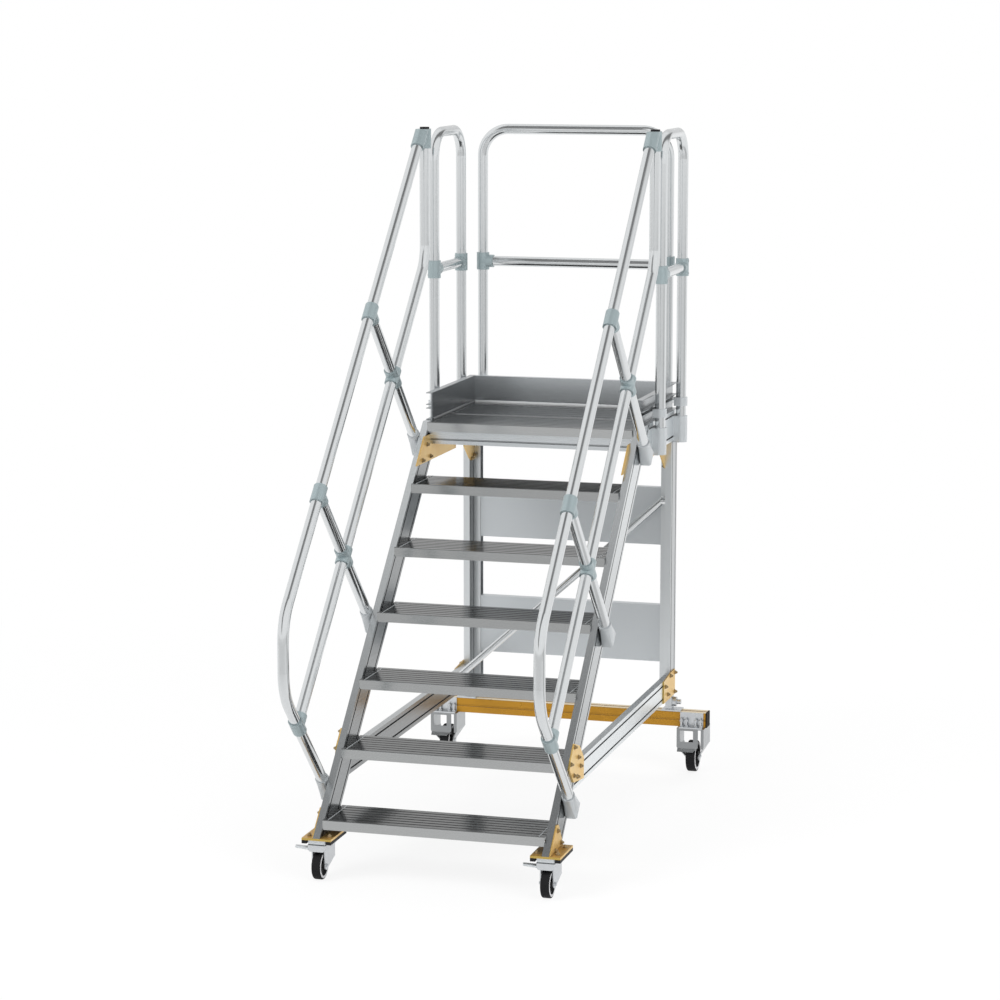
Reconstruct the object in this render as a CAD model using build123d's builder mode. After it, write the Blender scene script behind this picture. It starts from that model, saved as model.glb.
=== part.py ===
from build123d import *
from math import cos, pi, radians, sin, sqrt, tan
import os

# Mobile platform stairs, climbed from the front (-Y) to the platform at the back (+Y).
# Millimetres, +Z up. The origin is on the floor, in the middle of the length and the width.
# Left and right are those of a person who climbs: left is -X.

# Stair
rise = 207.0  # from one tread to the next
first_rise = 215.0  # floor to the first tread
tread_count = 6
pitch = 45.0  # degrees
tread_span = 804.0  # between the stringers
tread_depth = 215.0
tread_thick = 35.0
tread_skin = 4.0
tread_web = 3.0
tread_nose_radius = 4.0
rib_count = 6
rib_gap = 9.0
rib_height = 1.6
tread_pockets = 3
stringer_thick = 25.0
stringer_depth = 120.0
stringer_setback = 19.0  # nosing line to the stringer's front face, square to the slope

# Grooves of the frame extrusions
groove_wide = 7.0
groove_deep = 6.0
groove_edge = 18.0  # edge of the profile to the groove's middle
overrun_share = 2.0  # a groove's cutter to the length of its bar
overrun = 5.0  # how far other cutters reach past what they cut

# Platform
platform_length = 663.0  # front edge of the nosing to the outer face at the back
nosing_depth = 258.0
deck_joint = 4.0
side_beam_height = 120.0
front_beam_height = 50.0
front_beam_setback = 20.0
kick_height = 105.0
kick_start = 68.0  # nosing to the front end of the side kick plates
kick_bead = 9.0
kick_skin = 5.0
kick_rib = 3.0
kick_rib_shares = (0.0, 0.42, 0.56, 1.0)  # places of the outer ribs on the height

# Tubes and their cast junctions
tube_d = 40.0
tube_stand_off = 4.0  # frame face to the tube
guard_height = 1088.0  # deck to the middle of the top tube
mid_height = 563.0  # deck to the middle of the mid rails
guard_bend = 105.0
loop_front = 257.0  # nosing to the front leg of a side loop
loop_pitch = 363.0  # front leg to back leg
hoop_inset = 22.0  # inner face of the frame to the middle of a rear guard's leg
sleeve_wall = 5.0
sleeve_gap = 0.2
arm_gap = 0.3  # the same on a tube that ends in a junction
arm_step = 0.5  # how much slimmer a junction's side arm is than its sleeve
sleeve_half = 34.0  # middle of a junction to the mouth of its sleeve
seat = 0.3  # clearance where a piece rests on its seat

# Stair rails, measured from the nosing line, square to the slope
handrail_above = 706.0
knee_above = 334.0
strut_alongs = (177.0, 892.0, 1711.0)  # bent lower end, lower strut, upper strut
rail_front = 245.0  # first nosing to the upright stretch of the handrail
handrail_bend = 190.0
newel_y = 138.0  # platform nosing to the upright end of the knee rail
newel_top = 1108.0  # deck to the top of that tube
knee_bend = 130.0
top_sleeve = 74.0
handrail_mouth = 95.0  # newel tube to the mouth of the top junction
handrail_stop = 60.0  # newel tube to the end of the handrail
plug_d = 36.0
plug_height = 7.0
bracket_width = 70.0
bracket_round = 9.0
bracket_reach = 44.0  # stringer face to the outside of a rail bracket
bracket_above = 6.0  # mouth of the bracket, above the stringer's front face
bracket_below = 92.0  # foot of the bracket, under the stringer's front face

# Guard sockets and leg clamps
socket_height = 104.0
socket_width = 60.0
socket_drop = 22.0  # deck to the top of a socket
clamp_height = 33.0
clamp_lift = 18.0  # deck to the foot of a leg clamp
clamp_width = 50.0

# Rear frame
post_depth = 98.0
channel_depth = 42.0
channel_width = 29.0
channel_wall = 3.0
panel_height = 230.0
panel_insert = 18.0
panel_bottoms = (439.0, 913.0)
panel_fold = 14.0
base_beam_bottom = 308.0
base_beam_height = 89.0
tie_d = 27.0
tie_low_ahead = 300.0  # posts' front faces to the tie's lower end
tie_low_drop = 14.0  # base beams' top to the middle of that end
tie_high_behind = 20.0  # posts' front faces to the tie's upper end
tie_rise = 716.0
tie_lug_d = 36.0
tie_lug_thick = 18.0

# Gold plates
gusset_thick = 5.0
gusset_margin = 12.0
gusset_rise = 80.0  # base beams' top to the front gussets' top
gusset_shoulder = 55.0
gusset_reach = 48.0  # joint of stringer and base beam to the gusset's end
gusset_nose = 30.0
rear_gusset_length = 195.0
rear_gusset_overhang = 20.0
platform_gusset_high = 100.0
platform_gusset_flat = 132.0
platform_gusset_tail = 280.0
platform_gusset_end = 28.0
platform_gusset_drop = 29.0  # side beams' underside to the gussets' lower edge
post_gusset_height = 150.0
post_gusset_ahead = 85.0
post_gusset_shoulder = 39.0
upright_height = 88.0
upright_margin = 3.0
upright_top = 22.0  # front face of the stringer to the upright's top back corner

# Rear cross beam
beam_size = 60.0
beam_bottom = 185.0
beam_length = 1136.0
beam_round = 3.0
beam_cap = 5.0
beam_groove = 8.0
beam_groove_deep = 3.0
beam_front_setback = 67.0  # outer face of the platform's back to the beam's front face
foot_plate_thick = 6.0
foot_plate_length = 78.0
foot_block = 44.0
foot_pin_d = 20.0
foot_nut_d = 38.0
foot_nut_length = 17.0

# Front castors
front_wheel_d = 100.0
front_tyre_width = 32.0
front_trail = 46.0
mount_plate_width = 108.0
mount_plate_thick = 8.0
mount_plate_z = 147.0  # floor to the underside of the gold plate
pad_width = 18.0
pad_thick = 12.0
castor_plate_length = 164.0
castor_plate_width = 70.0
castor_plate_thick = 4.0
castor_plate_round = 6.0
fork_sheet = 4.0
fork_clear = 5.0
fork_boss_d = 30.0
crown_z = 126.0  # floor to the underside of the fork's top sheet
hood_width = 66.0
hood_front = 85.0  # swivel axis to the front of the fork's hood
hood_rear = 44.0  # swivel axis to the back of the hood and of the cheeks
hood_drop = 23.0  # fork's top to the lower edge of the hood
hood_shoulder = 10.0  # how far above that edge the hood draws in
hood_round = 6.0
cheek_front = 62.0  # swivel axis to the front edge of the cheeks
cheek_drop = 66.0  # fork's top to where the cheeks' back edge turns to the axle
kingpin_d = 22.0
kingpin_drop = 8.0
swivel_d = 58.0
swivel_gap = 0.3
lever_z = 117.0
lever_root = (25.0, 68.0)  # swivel axis to the root of the lever, to the side and ahead
lever_end = (80.0, 58.0)  # swivel axis to the middle of the lever's tip, likewise
lever_width = 24.0
lever_tip = 12.0
lever_thick = 3.0

# Rear castors
rear_wheel_d = 125.0
rear_tyre_width = 37.0
castor_inset = 55.0  # end of the cross beam to the middle of a rear castor
housing_width = 110.0
housing_length = 122.0
housing_sheet = 4.0
housing_foot_width = 55.0
housing_shoulder = 75.0  # top of the housing to where its cheeks draw in
housing_boss_d = 38.0
front_plate_width = 86.0
front_plate_height = 81.0
window_wide = 54.0
window_high = 46.0
window_round = 3.0
window_drop = 9.0
window_inset = 13.0  # outer face of the left cheek to the window
cheek_flange = 12.0
lip_reach = 8.0
lip_drop = 13.0
lip_chamfer = 18.0
bracket_plate_length = 94.0
bracket_plate_thick = 5.0
axle_d = 12.0
axle_clear = 0.05
hub_clear = 1.5

# Shares of a castor wheel's radius and width
tyre_bore_share = 0.86
recess_share = 0.72
hub_share = 0.3
recess_depth_share = 0.3
tyre_round_share = 0.15

tube_r = tube_d / 2
slope = radians(pitch)
going = rise / tan(slope)
platform_z = first_rise + tread_count * rise
inner_x = tread_span / 2
outer_x = inner_x + stringer_thick
rail_x = outer_x + tube_stand_off + tube_r
nosing_s = tread_count * going
back_s = nosing_s + platform_length
hoop_s = back_s + tube_stand_off + tube_r
front_s = -(rail_front + tube_r)
end_s = hoop_s + tube_r + sleeve_wall
stair_y = -(front_s + end_s) / 2
back_y = stair_y + back_s
hoop_y = stair_y + hoop_s
deck_y = stair_y + nosing_s
sleeve_r = tube_r + sleeve_gap
sleeve_out = tube_r + sleeve_wall
arm_r = tube_r + arm_gap
arm_out = sleeve_out - arm_step
stringer_top = platform_z
side_bottom = platform_z - side_beam_height
foot_z = mount_plate_z + mount_plate_thick
post_y = back_y - post_depth
base_top = base_beam_bottom + base_beam_height
beam_y = back_y - beam_front_setback + beam_size / 2
beam_top = beam_bottom + beam_size

os.makedirs("parts", exist_ok=True)


def save(part, name):
    """Write one piece under its own name."""
    part.label = name
    export_step(part, f"parts/{name}.step")


def on_slope(along, above):
    """The (y, z) place at a distance along the nosing line and square above it."""
    y = stair_y + along * cos(slope) - above * sin(slope)
    z = first_rise + along * sin(slope) + above * cos(slope)
    return (y, z)


def slope_at_z(above, z):
    """The (y, z) place at a height, on a line that runs with the slope."""
    along = (z - first_rise - above * cos(slope)) / sin(slope)
    return on_slope(along, above)


def slope_at_y(above, y):
    """The (y, z) place at a length, on a line that runs with the slope."""
    along = (y - stair_y + above * sin(slope)) / cos(slope)
    return on_slope(along, above)


def side_plane(x):
    """A plane across the width, with the length to the right and the height upwards."""
    return Plane(origin=(x, 0, 0), x_dir=(0, 1, 0), z_dir=(1, 0, 0))


def front_plane(y):
    """A plane across the length, with the width to the right and the height upwards."""
    return Plane(origin=(0, y, 0), x_dir=(1, 0, 0), z_dir=(0, -1, 0))


def sleeve_plane(x, place, direction):
    """A plane square to a tube in the side frame, at its (y, z) place."""
    return Plane(
        origin=(x, place[0], place[1]),
        x_dir=(1, 0, 0),
        z_dir=(0, direction[0], direction[1]),
    )


def both_sides(part):
    """A piece of the right side together with its twin on the left side."""
    return Compound(children=[part, mirror(part, about=Plane.YZ)])


uphill = (cos(slope), sin(slope))
square_up = (-sin(slope), cos(slope))
upright = (0, 1)


# Stringers: grooved extrusions from the castor plates up to the deck
front_face = -stringer_setback
back_face = -stringer_setback - stringer_depth


def frame_profile(corners, groove_spots, groove_turn):
    """A grooved bar of the right side frame, from its outline and its grooves' middles."""
    with BuildPart() as bar:
        with BuildSketch(side_plane(inner_x)):
            with BuildLine():
                Polyline(*corners, close=True)
            make_face()
        extrude(amount=stringer_thick)
        for face_x, inward in ((inner_x, groove_deep), (outer_x, -groove_deep)):
            with BuildSketch(side_plane(face_x)):
                for spot, length in groove_spots:
                    with Locations(spot):
                        Rectangle(length, groove_wide, rotation=groove_turn)
            extrude(amount=inward, mode=Mode.SUBTRACT)
    return bar.part


stringer_length = (stringer_top - foot_z) / sin(slope)
stringer_middle = (stringer_top + foot_z) / 2
stringer = frame_profile(
    [
        slope_at_z(front_face, foot_z),
        slope_at_z(back_face, foot_z),
        slope_at_z(back_face, stringer_top),
        slope_at_z(front_face, stringer_top),
    ],
    [
        (slope_at_z(front_face - groove_edge, stringer_middle), stringer_length * overrun_share),
        (slope_at_z(back_face + groove_edge, stringer_middle), stringer_length * overrun_share),
    ],
    pitch,
)
save(both_sides(stringer), "stringers")


def level_bar(corners, bottom, height):
    """A level grooved bar of the right side frame."""
    middle_y = sum(corner[0] for corner in corners) / len(corners)
    length = max(corner[0] for corner in corners) - min(corner[0] for corner in corners)
    spots = [
        ((middle_y, bottom + groove_edge), length * overrun_share),
        ((middle_y, bottom + height - groove_edge), length * overrun_share),
    ]
    return frame_profile(corners, spots, 0)


# Side beams of the platform, from the stringers' backs to the back of the platform
side_beam = level_bar(
    [
        slope_at_z(back_face, side_bottom),
        (back_y, side_bottom),
        (back_y, platform_z),
        slope_at_z(back_face, platform_z),
    ],
    side_bottom,
    side_beam_height,
)
save(both_sides(side_beam), "platform_side_beams")

# Base beams, level between the stringers and the rear posts
base_beam = level_bar(
    [
        slope_at_z(back_face, base_beam_bottom),
        (post_y, base_beam_bottom),
        (post_y, base_top),
        slope_at_z(back_face, base_top),
    ],
    base_beam_bottom,
    base_beam_height,
)
save(both_sides(base_beam), "base_beams")


# Rear posts, with the channels that hold the cross panels
def rear_post():
    """The right rear post: a grooved bar, and the channel on its inner face."""
    post = frame_profile(
        [
            (post_y, base_beam_bottom),
            (back_y, base_beam_bottom),
            (back_y, side_bottom),
            (post_y, side_bottom),
        ],
        [
            ((post_y + groove_edge, (base_beam_bottom + side_bottom) / 2), side_bottom * overrun_share),
            ((back_y - groove_edge, (base_beam_bottom + side_bottom) / 2), side_bottom * overrun_share),
        ],
        90,
    )
    channel_bottom = base_beam_bottom
    with BuildPart() as channel:
        with BuildSketch(Plane.XY.offset(channel_bottom)):
            with Locations((inner_x - channel_width / 2, back_y - channel_depth / 2)):
                Rectangle(channel_width, channel_depth)
            with Locations((inner_x - channel_width / 2 - channel_wall, back_y - channel_depth / 2)):
                Rectangle(channel_width, channel_depth - 2 * channel_wall, mode=Mode.SUBTRACT)
        extrude(amount=side_bottom - channel_bottom)
    return Compound(children=[post, channel.part])


save(both_sides(rear_post()), "rear_posts")


# Cross panels, folded sheets whose ends sit in the channels
panel_y = back_y - channel_depth / 2
panel_thick = channel_depth - 2 * (channel_wall + seat)
panel_half = inner_x - channel_width + panel_insert
for name, bottom in zip(("rear_panel_lower", "rear_panel_upper"), panel_bottoms):
    with BuildPart() as panel:
        with BuildSketch(side_plane(-panel_half)):
            with Locations((panel_y, bottom + panel_height / 2)):
                Rectangle(panel_thick, panel_height)
            with Locations((panel_y + channel_wall, bottom + panel_height / 2)):
                Rectangle(panel_thick, panel_height - 2 * channel_wall, mode=Mode.SUBTRACT)
            for edge in (bottom, bottom + panel_height - panel_fold):
                with Locations((panel_y + panel_thick / 2 - channel_wall / 2, edge + panel_fold / 2)):
                    Rectangle(channel_wall, panel_fold)
        extrude(amount=2 * panel_half)
    save(panel.part, name)


# Treads: ribbed extrusions, open underneath between their webs
def tread_profile(depth, front_y, top_z, span):
    """One ribbed plank, from its depth and the place of its top front edge."""
    with BuildPart() as plank:
        with BuildSketch(side_plane(-span / 2)):
            with Locations((front_y + depth / 2, top_z - tread_thick / 2)):
                Rectangle(depth, tread_thick)
            pocket = (depth - (tread_pockets + 1) * tread_web) / tread_pockets
            for index in range(tread_pockets):
                start = front_y + tread_web + index * (pocket + tread_web)
                with Locations((start + pocket / 2, top_z - tread_skin - tread_thick / 2)):
                    Rectangle(pocket, tread_thick, mode=Mode.SUBTRACT)
            rib_pitch = depth / (rib_count + 1)
            for index in range(rib_count):
                with Locations((front_y + (index + 1) * rib_pitch, top_z - rib_height / 2)):
                    Rectangle(rib_gap, rib_height, mode=Mode.SUBTRACT)
        extrude(amount=span)
        nose = plank.edges().filter_by(Axis.X).group_by(Axis.Z)[-1].sort_by(Axis.Y)[0]
        fillet(nose, tread_nose_radius * tread_skin / (tread_skin + rib_height))
    return plank.part


for step in range(tread_count):
    tread = tread_profile(
        tread_depth, stair_y + step * going, first_rise + step * rise, tread_span
    )
    save(tread, f"tread_{step + 1}")

# Platform deck: the nosing plank and the wider plank behind it
save(tread_profile(nosing_depth, deck_y, platform_z, tread_span), "platform_nosing")
deck_start = deck_y + nosing_depth + deck_joint
deck_depth = back_y - stringer_thick - deck_start
save(tread_profile(deck_depth, deck_start, platform_z, tread_span), "platform_deck")

# Cross beams under the nosing and at the back of the platform
with BuildPart() as cross_beams:
    front_beam_y = deck_y + front_beam_setback
    front_beam_top = platform_z - tread_thick
    with BuildSketch(side_plane(gusset_thick - inner_x)):
        with Locations((front_beam_y + stringer_thick / 2, front_beam_top - front_beam_height / 2)):
            Rectangle(stringer_thick, front_beam_height)
        with Locations((front_beam_y, front_beam_top - front_beam_height + groove_edge)):
            Rectangle(2 * groove_deep, groove_wide, mode=Mode.SUBTRACT)
    extrude(amount=2 * (inner_x - gusset_thick))
    with BuildSketch(side_plane(-inner_x)):
        with Locations((back_y - stringer_thick / 2, platform_z - side_beam_height / 2)):
            Rectangle(stringer_thick, side_beam_height)
        for groove_z in (side_bottom + groove_edge, platform_z - groove_edge):
            with Locations((back_y, groove_z)):
                Rectangle(2 * groove_deep, groove_wide, mode=Mode.SUBTRACT)
    extrude(amount=tread_span)
save(cross_beams.part, "platform_cross_beams")


# Kick plates, stood on the edge beams
def kick_section(plane, inner, outer, length):
    """A kick plate: a skin on the platform's side and ribs on its outside."""
    way = 1 if outer > inner else -1
    depth = abs(outer - inner)
    with BuildPart() as plate:
        with BuildSketch(plane):
            with Locations((inner + way * kick_skin / 2, platform_z + kick_height / 2)):
                Rectangle(kick_skin, kick_height)
            for share in kick_rib_shares:
                rib_z = platform_z + share * (kick_height - kick_rib) + kick_rib / 2
                with Locations((inner + way * depth / 2, rib_z)):
                    Rectangle(depth, kick_rib)
        extrude(amount=length)
    return plate.part


side_kick = kick_section(front_plane(back_y), inner_x, outer_x, platform_length - kick_start)
save(side_kick, "kick_plate_right")
save(mirror(side_kick, about=Plane.YZ), "kick_plate_left")

# The rear one has a round bead along its inner foot
rear_kick_y = back_y - stringer_thick
with BuildPart() as rear_kick:
    add(kick_section(side_plane(-inner_x), rear_kick_y, back_y, tread_span))
    with BuildSketch(side_plane(-inner_x)):
        with Locations((rear_kick_y, platform_z + seat + kick_bead / 2)):
            Circle(kick_bead / 2)
    extrude(amount=tread_span)
save(rear_kick.part, "kick_plate_rear")


# Tubes: each is one bent run
def tube(plane, points, bend):
    """A round tube along straight runs joined by bends of one radius."""
    with BuildPart() as run:
        with BuildLine(plane) as path:
            if len(points) > 2:
                FilletPolyline(*points, radius=bend)
            else:
                Line(*points)
        with BuildSketch(Plane(origin=path.line @ 0, z_dir=path.line % 0)):
            Circle(tube_r)
        sweep()
    return run.part


guard_z = platform_z + guard_height
mid_z = platform_z + mid_height
socket_top = platform_z - socket_drop
socket_bottom = socket_top - socket_height
leg_foot = socket_bottom + seat
loop_ys = (deck_y + loop_front, deck_y + loop_front + loop_pitch)

loop = tube(
    side_plane(rail_x),
    [
        (loop_ys[0], leg_foot),
        (loop_ys[0], guard_z),
        (loop_ys[1], guard_z),
        (loop_ys[1], leg_foot),
    ],
    guard_bend,
)
save(loop, "guard_loop_right")
save(mirror(loop, about=Plane.YZ), "guard_loop_left")

hoop_x = inner_x - hoop_inset
hoop = tube(
    front_plane(hoop_y),
    [(-hoop_x, leg_foot), (-hoop_x, guard_z), (hoop_x, guard_z), (hoop_x, leg_foot)],
    guard_bend,
)
save(hoop, "rear_guard_hoop")

mid_rail = tube(
    side_plane(rail_x),
    [(loop_ys[0] + tube_r + seat, mid_z), (loop_ys[1] - tube_r - seat, mid_z)],
    guard_bend,
)
knee_tube = tube(
    front_plane(hoop_y),
    [(-hoop_x + tube_r + seat, mid_z), (hoop_x - tube_r - seat, mid_z)],
    guard_bend,
)
save(Compound(children=[both_sides(mid_rail), knee_tube]), "guard_mid_rails")

# Stair handrails: the slope, the upright stretch in front and the return to the stringer
strut_foot = front_face - bracket_below + seat
front_y = stair_y - rail_front
low_along, mid_along, high_along = strut_alongs
newel_s = deck_y + newel_y
return_corner_z = first_rise + (low_along - (front_y - stair_y) * cos(slope)) / sin(slope)
handrail_end = newel_s - handrail_stop
handrail_points = [
    slope_at_y(handrail_above, handrail_end),
    slope_at_y(handrail_above, front_y),
    (front_y, return_corner_z),
    on_slope(low_along, strut_foot),
]
handrail = tube(side_plane(rail_x), handrail_points, handrail_bend)
save(handrail, "handrail_right")
save(mirror(handrail, about=Plane.YZ), "handrail_left")

# Knee rails: the slope and the upright end that carries the handrail's top
newel_top_z = platform_z + newel_top
knee_points = [
    on_slope(low_along + tube_r + seat, knee_above),
    slope_at_y(knee_above, newel_s),
    (newel_s, newel_top_z),
]
knee_rail = tube(side_plane(rail_x), knee_points, knee_bend)
save(knee_rail, "knee_rail_right")
save(mirror(knee_rail, about=Plane.YZ), "knee_rail_left")

# Struts between the handrail, the knee rail and the stringer
strut_runs = []
for along in (mid_along, high_along):
    for top, foot in (
        (handrail_above - tube_r - seat, knee_above + tube_r + seat),
        (knee_above - tube_r - seat, strut_foot),
    ):
        strut_runs.append(
            tube(side_plane(rail_x), [on_slope(along, foot), on_slope(along, top)], knee_bend)
        )
save(both_sides(Compound(children=strut_runs)), "rail_struts")


# Cast junctions: a body of sleeves with the tubes' bores cut through it
def junction(x, place, arms):
    """A casting at a (y, z) place: its sleeve, then its side arms, as direction and ends."""
    outer_rs = [sleeve_out] + [arm_out] * len(arms)
    bore_rs = [sleeve_r] + [arm_r] * len(arms)
    with BuildPart() as casting:
        for radii, mode in ((outer_rs, Mode.ADD), (bore_rs, Mode.SUBTRACT)):
            for radius, (direction, start, end) in zip(radii, arms):
                with BuildSketch(sleeve_plane(x, place, direction).offset(start)):
                    Circle(radius)
                extrude(amount=end - start, mode=mode)
    return casting.part


through = (-sleeve_half, sleeve_half)
castings = []
for along in (mid_along, high_along):
    castings.append(
        junction(
            rail_x,
            on_slope(along, handrail_above),
            [(uphill, *through), (square_up, -sleeve_half - tube_r / 2, 0)],
        )
    )
    castings.append(
        junction(
            rail_x,
            on_slope(along, knee_above),
            [(uphill, *through), (square_up, -sleeve_half - tube_r / 2, sleeve_half + tube_r / 2)],
        )
    )
castings.append(
    junction(
        rail_x,
        on_slope(low_along, knee_above),
        [(square_up, *through), (uphill, 0, sleeve_half + tube_r / 2)],
    )
)

# The top junction: the handrail's sleeve runs into the upright one and ends level with it
mouth_place = slope_at_y(handrail_above, newel_s - handrail_mouth)
stop_place = slope_at_y(handrail_above, handrail_end)
mouth_reach = handrail_mouth / cos(slope)
with BuildPart() as top_casting:
    with BuildSketch(sleeve_plane(rail_x, mouth_place, uphill)):
        Circle(sleeve_out)
    extrude(amount=mouth_reach)
    with BuildSketch(Plane.XY.offset(newel_top_z)):
        with Locations((rail_x, newel_s)):
            Rectangle(top_sleeve, 2 * handrail_mouth)
    extrude(amount=top_sleeve, mode=Mode.SUBTRACT)
    with BuildSketch(Plane.XY.offset(newel_top_z - top_sleeve)):
        with Locations((rail_x, newel_s)):
            Circle(sleeve_out)
    extrude(amount=top_sleeve)
    with BuildSketch(Plane.XY.offset(newel_top_z - top_sleeve)):
        with Locations((rail_x, newel_s)):
            Circle(sleeve_r)
    extrude(amount=top_sleeve, mode=Mode.SUBTRACT)
    with BuildSketch(sleeve_plane(rail_x, stop_place, uphill).offset(seat)):
        Circle(sleeve_r)
    extrude(amount=-mouth_reach, mode=Mode.SUBTRACT)
castings.append(top_casting.part)
rail_castings = Compound(children=castings)
save(rail_castings, "rail_junctions_right")
save(mirror(rail_castings, about=Plane.YZ), "rail_junctions_left")

# Plugs in the tops of the upright ends
with BuildPart() as plug:
    with BuildSketch(Plane.XY.offset(newel_top_z)):
        with Locations((rail_x, newel_s)):
            Circle(plug_d / 2)
    extrude(amount=plug_height)
save(both_sides(plug.part), "rail_end_plugs")

# Rail brackets: castings that take the struts' feet beside the stringers
brackets = []
for along in strut_alongs:
    mouth = on_slope(along, front_face + bracket_above)
    foot = on_slope(along, front_face - bracket_below)
    with BuildPart() as bracket:
        with BuildSketch(sleeve_plane(rail_x, mouth, square_up)):
            Circle(tube_r + tube_stand_off - seat)
        with BuildSketch(sleeve_plane(outer_x + seat, foot, square_up)):
            with Locations((bracket_reach / 2, 0)):
                RectangleRounded(bracket_reach, bracket_width, bracket_round)
        loft()
        with BuildSketch(side_plane(outer_x + seat)):
            with Locations(foot):
                Rectangle(2 * bracket_width, 2 * (bracket_above + bracket_below + overrun), rotation=pitch)
        extrude(amount=-tube_d, mode=Mode.SUBTRACT)
        bore = on_slope(along, strut_foot - seat)
        with BuildSketch(sleeve_plane(rail_x, bore, square_up)):
            Circle(sleeve_r)
        extrude(amount=2 * bracket_below, mode=Mode.SUBTRACT)
    brackets.append(bracket.part)
save(both_sides(Compound(children=brackets)), "rail_brackets")

# Junctions of the guards' mid rails
guard_castings = []
for leg_y, way in zip(loop_ys, (1, -1)):
    guard_castings.append(
        junction(
            rail_x,
            (leg_y, mid_z),
            [(upright, *through), ((way, 0), 0, sleeve_half + tube_r / 2)],
        )
    )
with BuildPart() as hoop_casting:
    with BuildSketch(Plane.XY.offset(mid_z - sleeve_half)):
        with Locations((hoop_x, hoop_y)):
            Circle(sleeve_out)
    extrude(amount=2 * sleeve_half)
    with BuildSketch(side_plane(hoop_x)):
        with Locations((hoop_y, mid_z)):
            Circle(sleeve_out)
    extrude(amount=-sleeve_half - tube_r / 2)
    with BuildSketch(Plane.XY.offset(mid_z - sleeve_half)):
        with Locations((hoop_x, hoop_y)):
            Circle(sleeve_r)
    extrude(amount=2 * sleeve_half, mode=Mode.SUBTRACT)
    with BuildSketch(side_plane(hoop_x)):
        with Locations((hoop_y, mid_z)):
            Circle(sleeve_r)
    extrude(amount=-sleeve_half - tube_r / 2, mode=Mode.SUBTRACT)
guard_castings.append(hoop_casting.part)
save(both_sides(Compound(children=guard_castings)), "guard_junctions")


# Sockets on the edge beams and clamps on the kick plates hold the guards' legs
def leg_holder(leg_x, leg_y, outward, width, bottom, height):
    """A block round a leg, seated on the frame's face that its outward way leaves."""
    half = tube_r + sleeve_wall
    with BuildPart() as block:
        with BuildSketch(Plane.XY.offset(bottom)):
            with Locations((leg_x, leg_y)):
                Circle(half)
            spot_x = leg_x - outward[0] * (tube_r + tube_stand_off) / 2
            spot_y = leg_y - outward[1] * (tube_r + tube_stand_off) / 2
            deep = tube_r + tube_stand_off
            with Locations((spot_x, spot_y)):
                if outward[0]:
                    Rectangle(deep, width)
                else:
                    Rectangle(width, deep)
            with Locations((leg_x, leg_y)):
                Circle(sleeve_r, mode=Mode.SUBTRACT)
            face_x = leg_x - outward[0] * (tube_r + tube_stand_off + half)
            face_y = leg_y - outward[1] * (tube_r + tube_stand_off + half)
            with Locations((face_x, face_y)):
                Rectangle(2 * half, 2 * half, mode=Mode.SUBTRACT)
        extrude(amount=height)
    return block.part


leg_places = [(rail_x, leg_y, (1, 0)) for leg_y in loop_ys] + [(hoop_x, hoop_y, (0, 1))]
sockets = [
    leg_holder(x, y, outward, socket_width, socket_bottom, socket_height)
    for x, y, outward in leg_places
]
save(both_sides(Compound(children=sockets)), "guard_sockets")
clamps = [
    leg_holder(x, y, outward, clamp_width, platform_z + clamp_lift, clamp_height)
    for x, y, outward in leg_places
]
save(both_sides(Compound(children=clamps)), "guard_leg_clamps")


# Gold gusset plates on the frame's joints
def plate(face_x, thick, corners):
    """A flat plate on a face of the right side frame, from its corners."""
    with BuildPart() as gusset:
        with BuildSketch(side_plane(face_x)):
            with BuildLine():
                Polyline(*corners, close=True)
            make_face()
        extrude(amount=thick)
    return gusset.part


gusset_low = side_bottom - platform_gusset_drop
gusset_high = gusset_low + platform_gusset_high
gusset_corner = slope_at_z(0, gusset_high)
platform_gusset = plate(
    inner_x,
    -gusset_thick,
    [
        slope_at_z(0, gusset_low),
        gusset_corner,
        (gusset_corner[0] + platform_gusset_flat, gusset_high),
        (gusset_corner[0] + platform_gusset_flat + platform_gusset_tail, gusset_low + platform_gusset_end),
        (gusset_corner[0] + platform_gusset_flat + platform_gusset_tail, gusset_low),
    ],
)
save(both_sides(platform_gusset), "gussets_platform")

post_gusset_back = back_y - channel_depth - seat
post_gusset_top = side_bottom + gusset_rise / 2
post_gusset = plate(
    inner_x,
    -gusset_thick,
    [
        (post_y - post_gusset_ahead, post_gusset_top),
        (post_gusset_back, post_gusset_top),
        (post_gusset_back, post_gusset_top - post_gusset_height),
        (post_y + gusset_margin, post_gusset_top - post_gusset_height),
        (post_y - gusset_margin, post_gusset_top - post_gusset_height + gusset_margin),
        (post_y - post_gusset_ahead, side_bottom - post_gusset_shoulder),
    ],
)
save(both_sides(post_gusset), "gussets_post_tops")

base_joint = slope_at_z(back_face, base_top)
base_front_gusset = plate(
    outer_x,
    gusset_thick,
    [
        slope_at_z(front_face, base_top + gusset_rise),
        (base_joint[0] - gusset_margin, base_top + gusset_shoulder),
        (base_joint[0] + gusset_reach, base_top),
        (base_joint[0] + gusset_reach, base_beam_bottom + gusset_margin),
        slope_at_z(back_face + 2 * gusset_margin, base_beam_bottom + gusset_nose),
        slope_at_z(front_face - gusset_margin, base_top),
        slope_at_z(front_face, base_top + gusset_nose),
    ],
)
rear_gusset_start = back_y - rear_gusset_overhang - rear_gusset_length
base_rear_gusset = plate(
    outer_x,
    gusset_thick,
    [
        (rear_gusset_start, base_beam_bottom),
        (back_y - rear_gusset_overhang, base_beam_bottom),
        (back_y - rear_gusset_overhang, base_top + gusset_margin),
        (post_y, base_top + gusset_margin),
        (rear_gusset_start, base_top),
    ],
)
save(both_sides(Compound(children=[base_front_gusset, base_rear_gusset])), "gussets_base")

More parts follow.
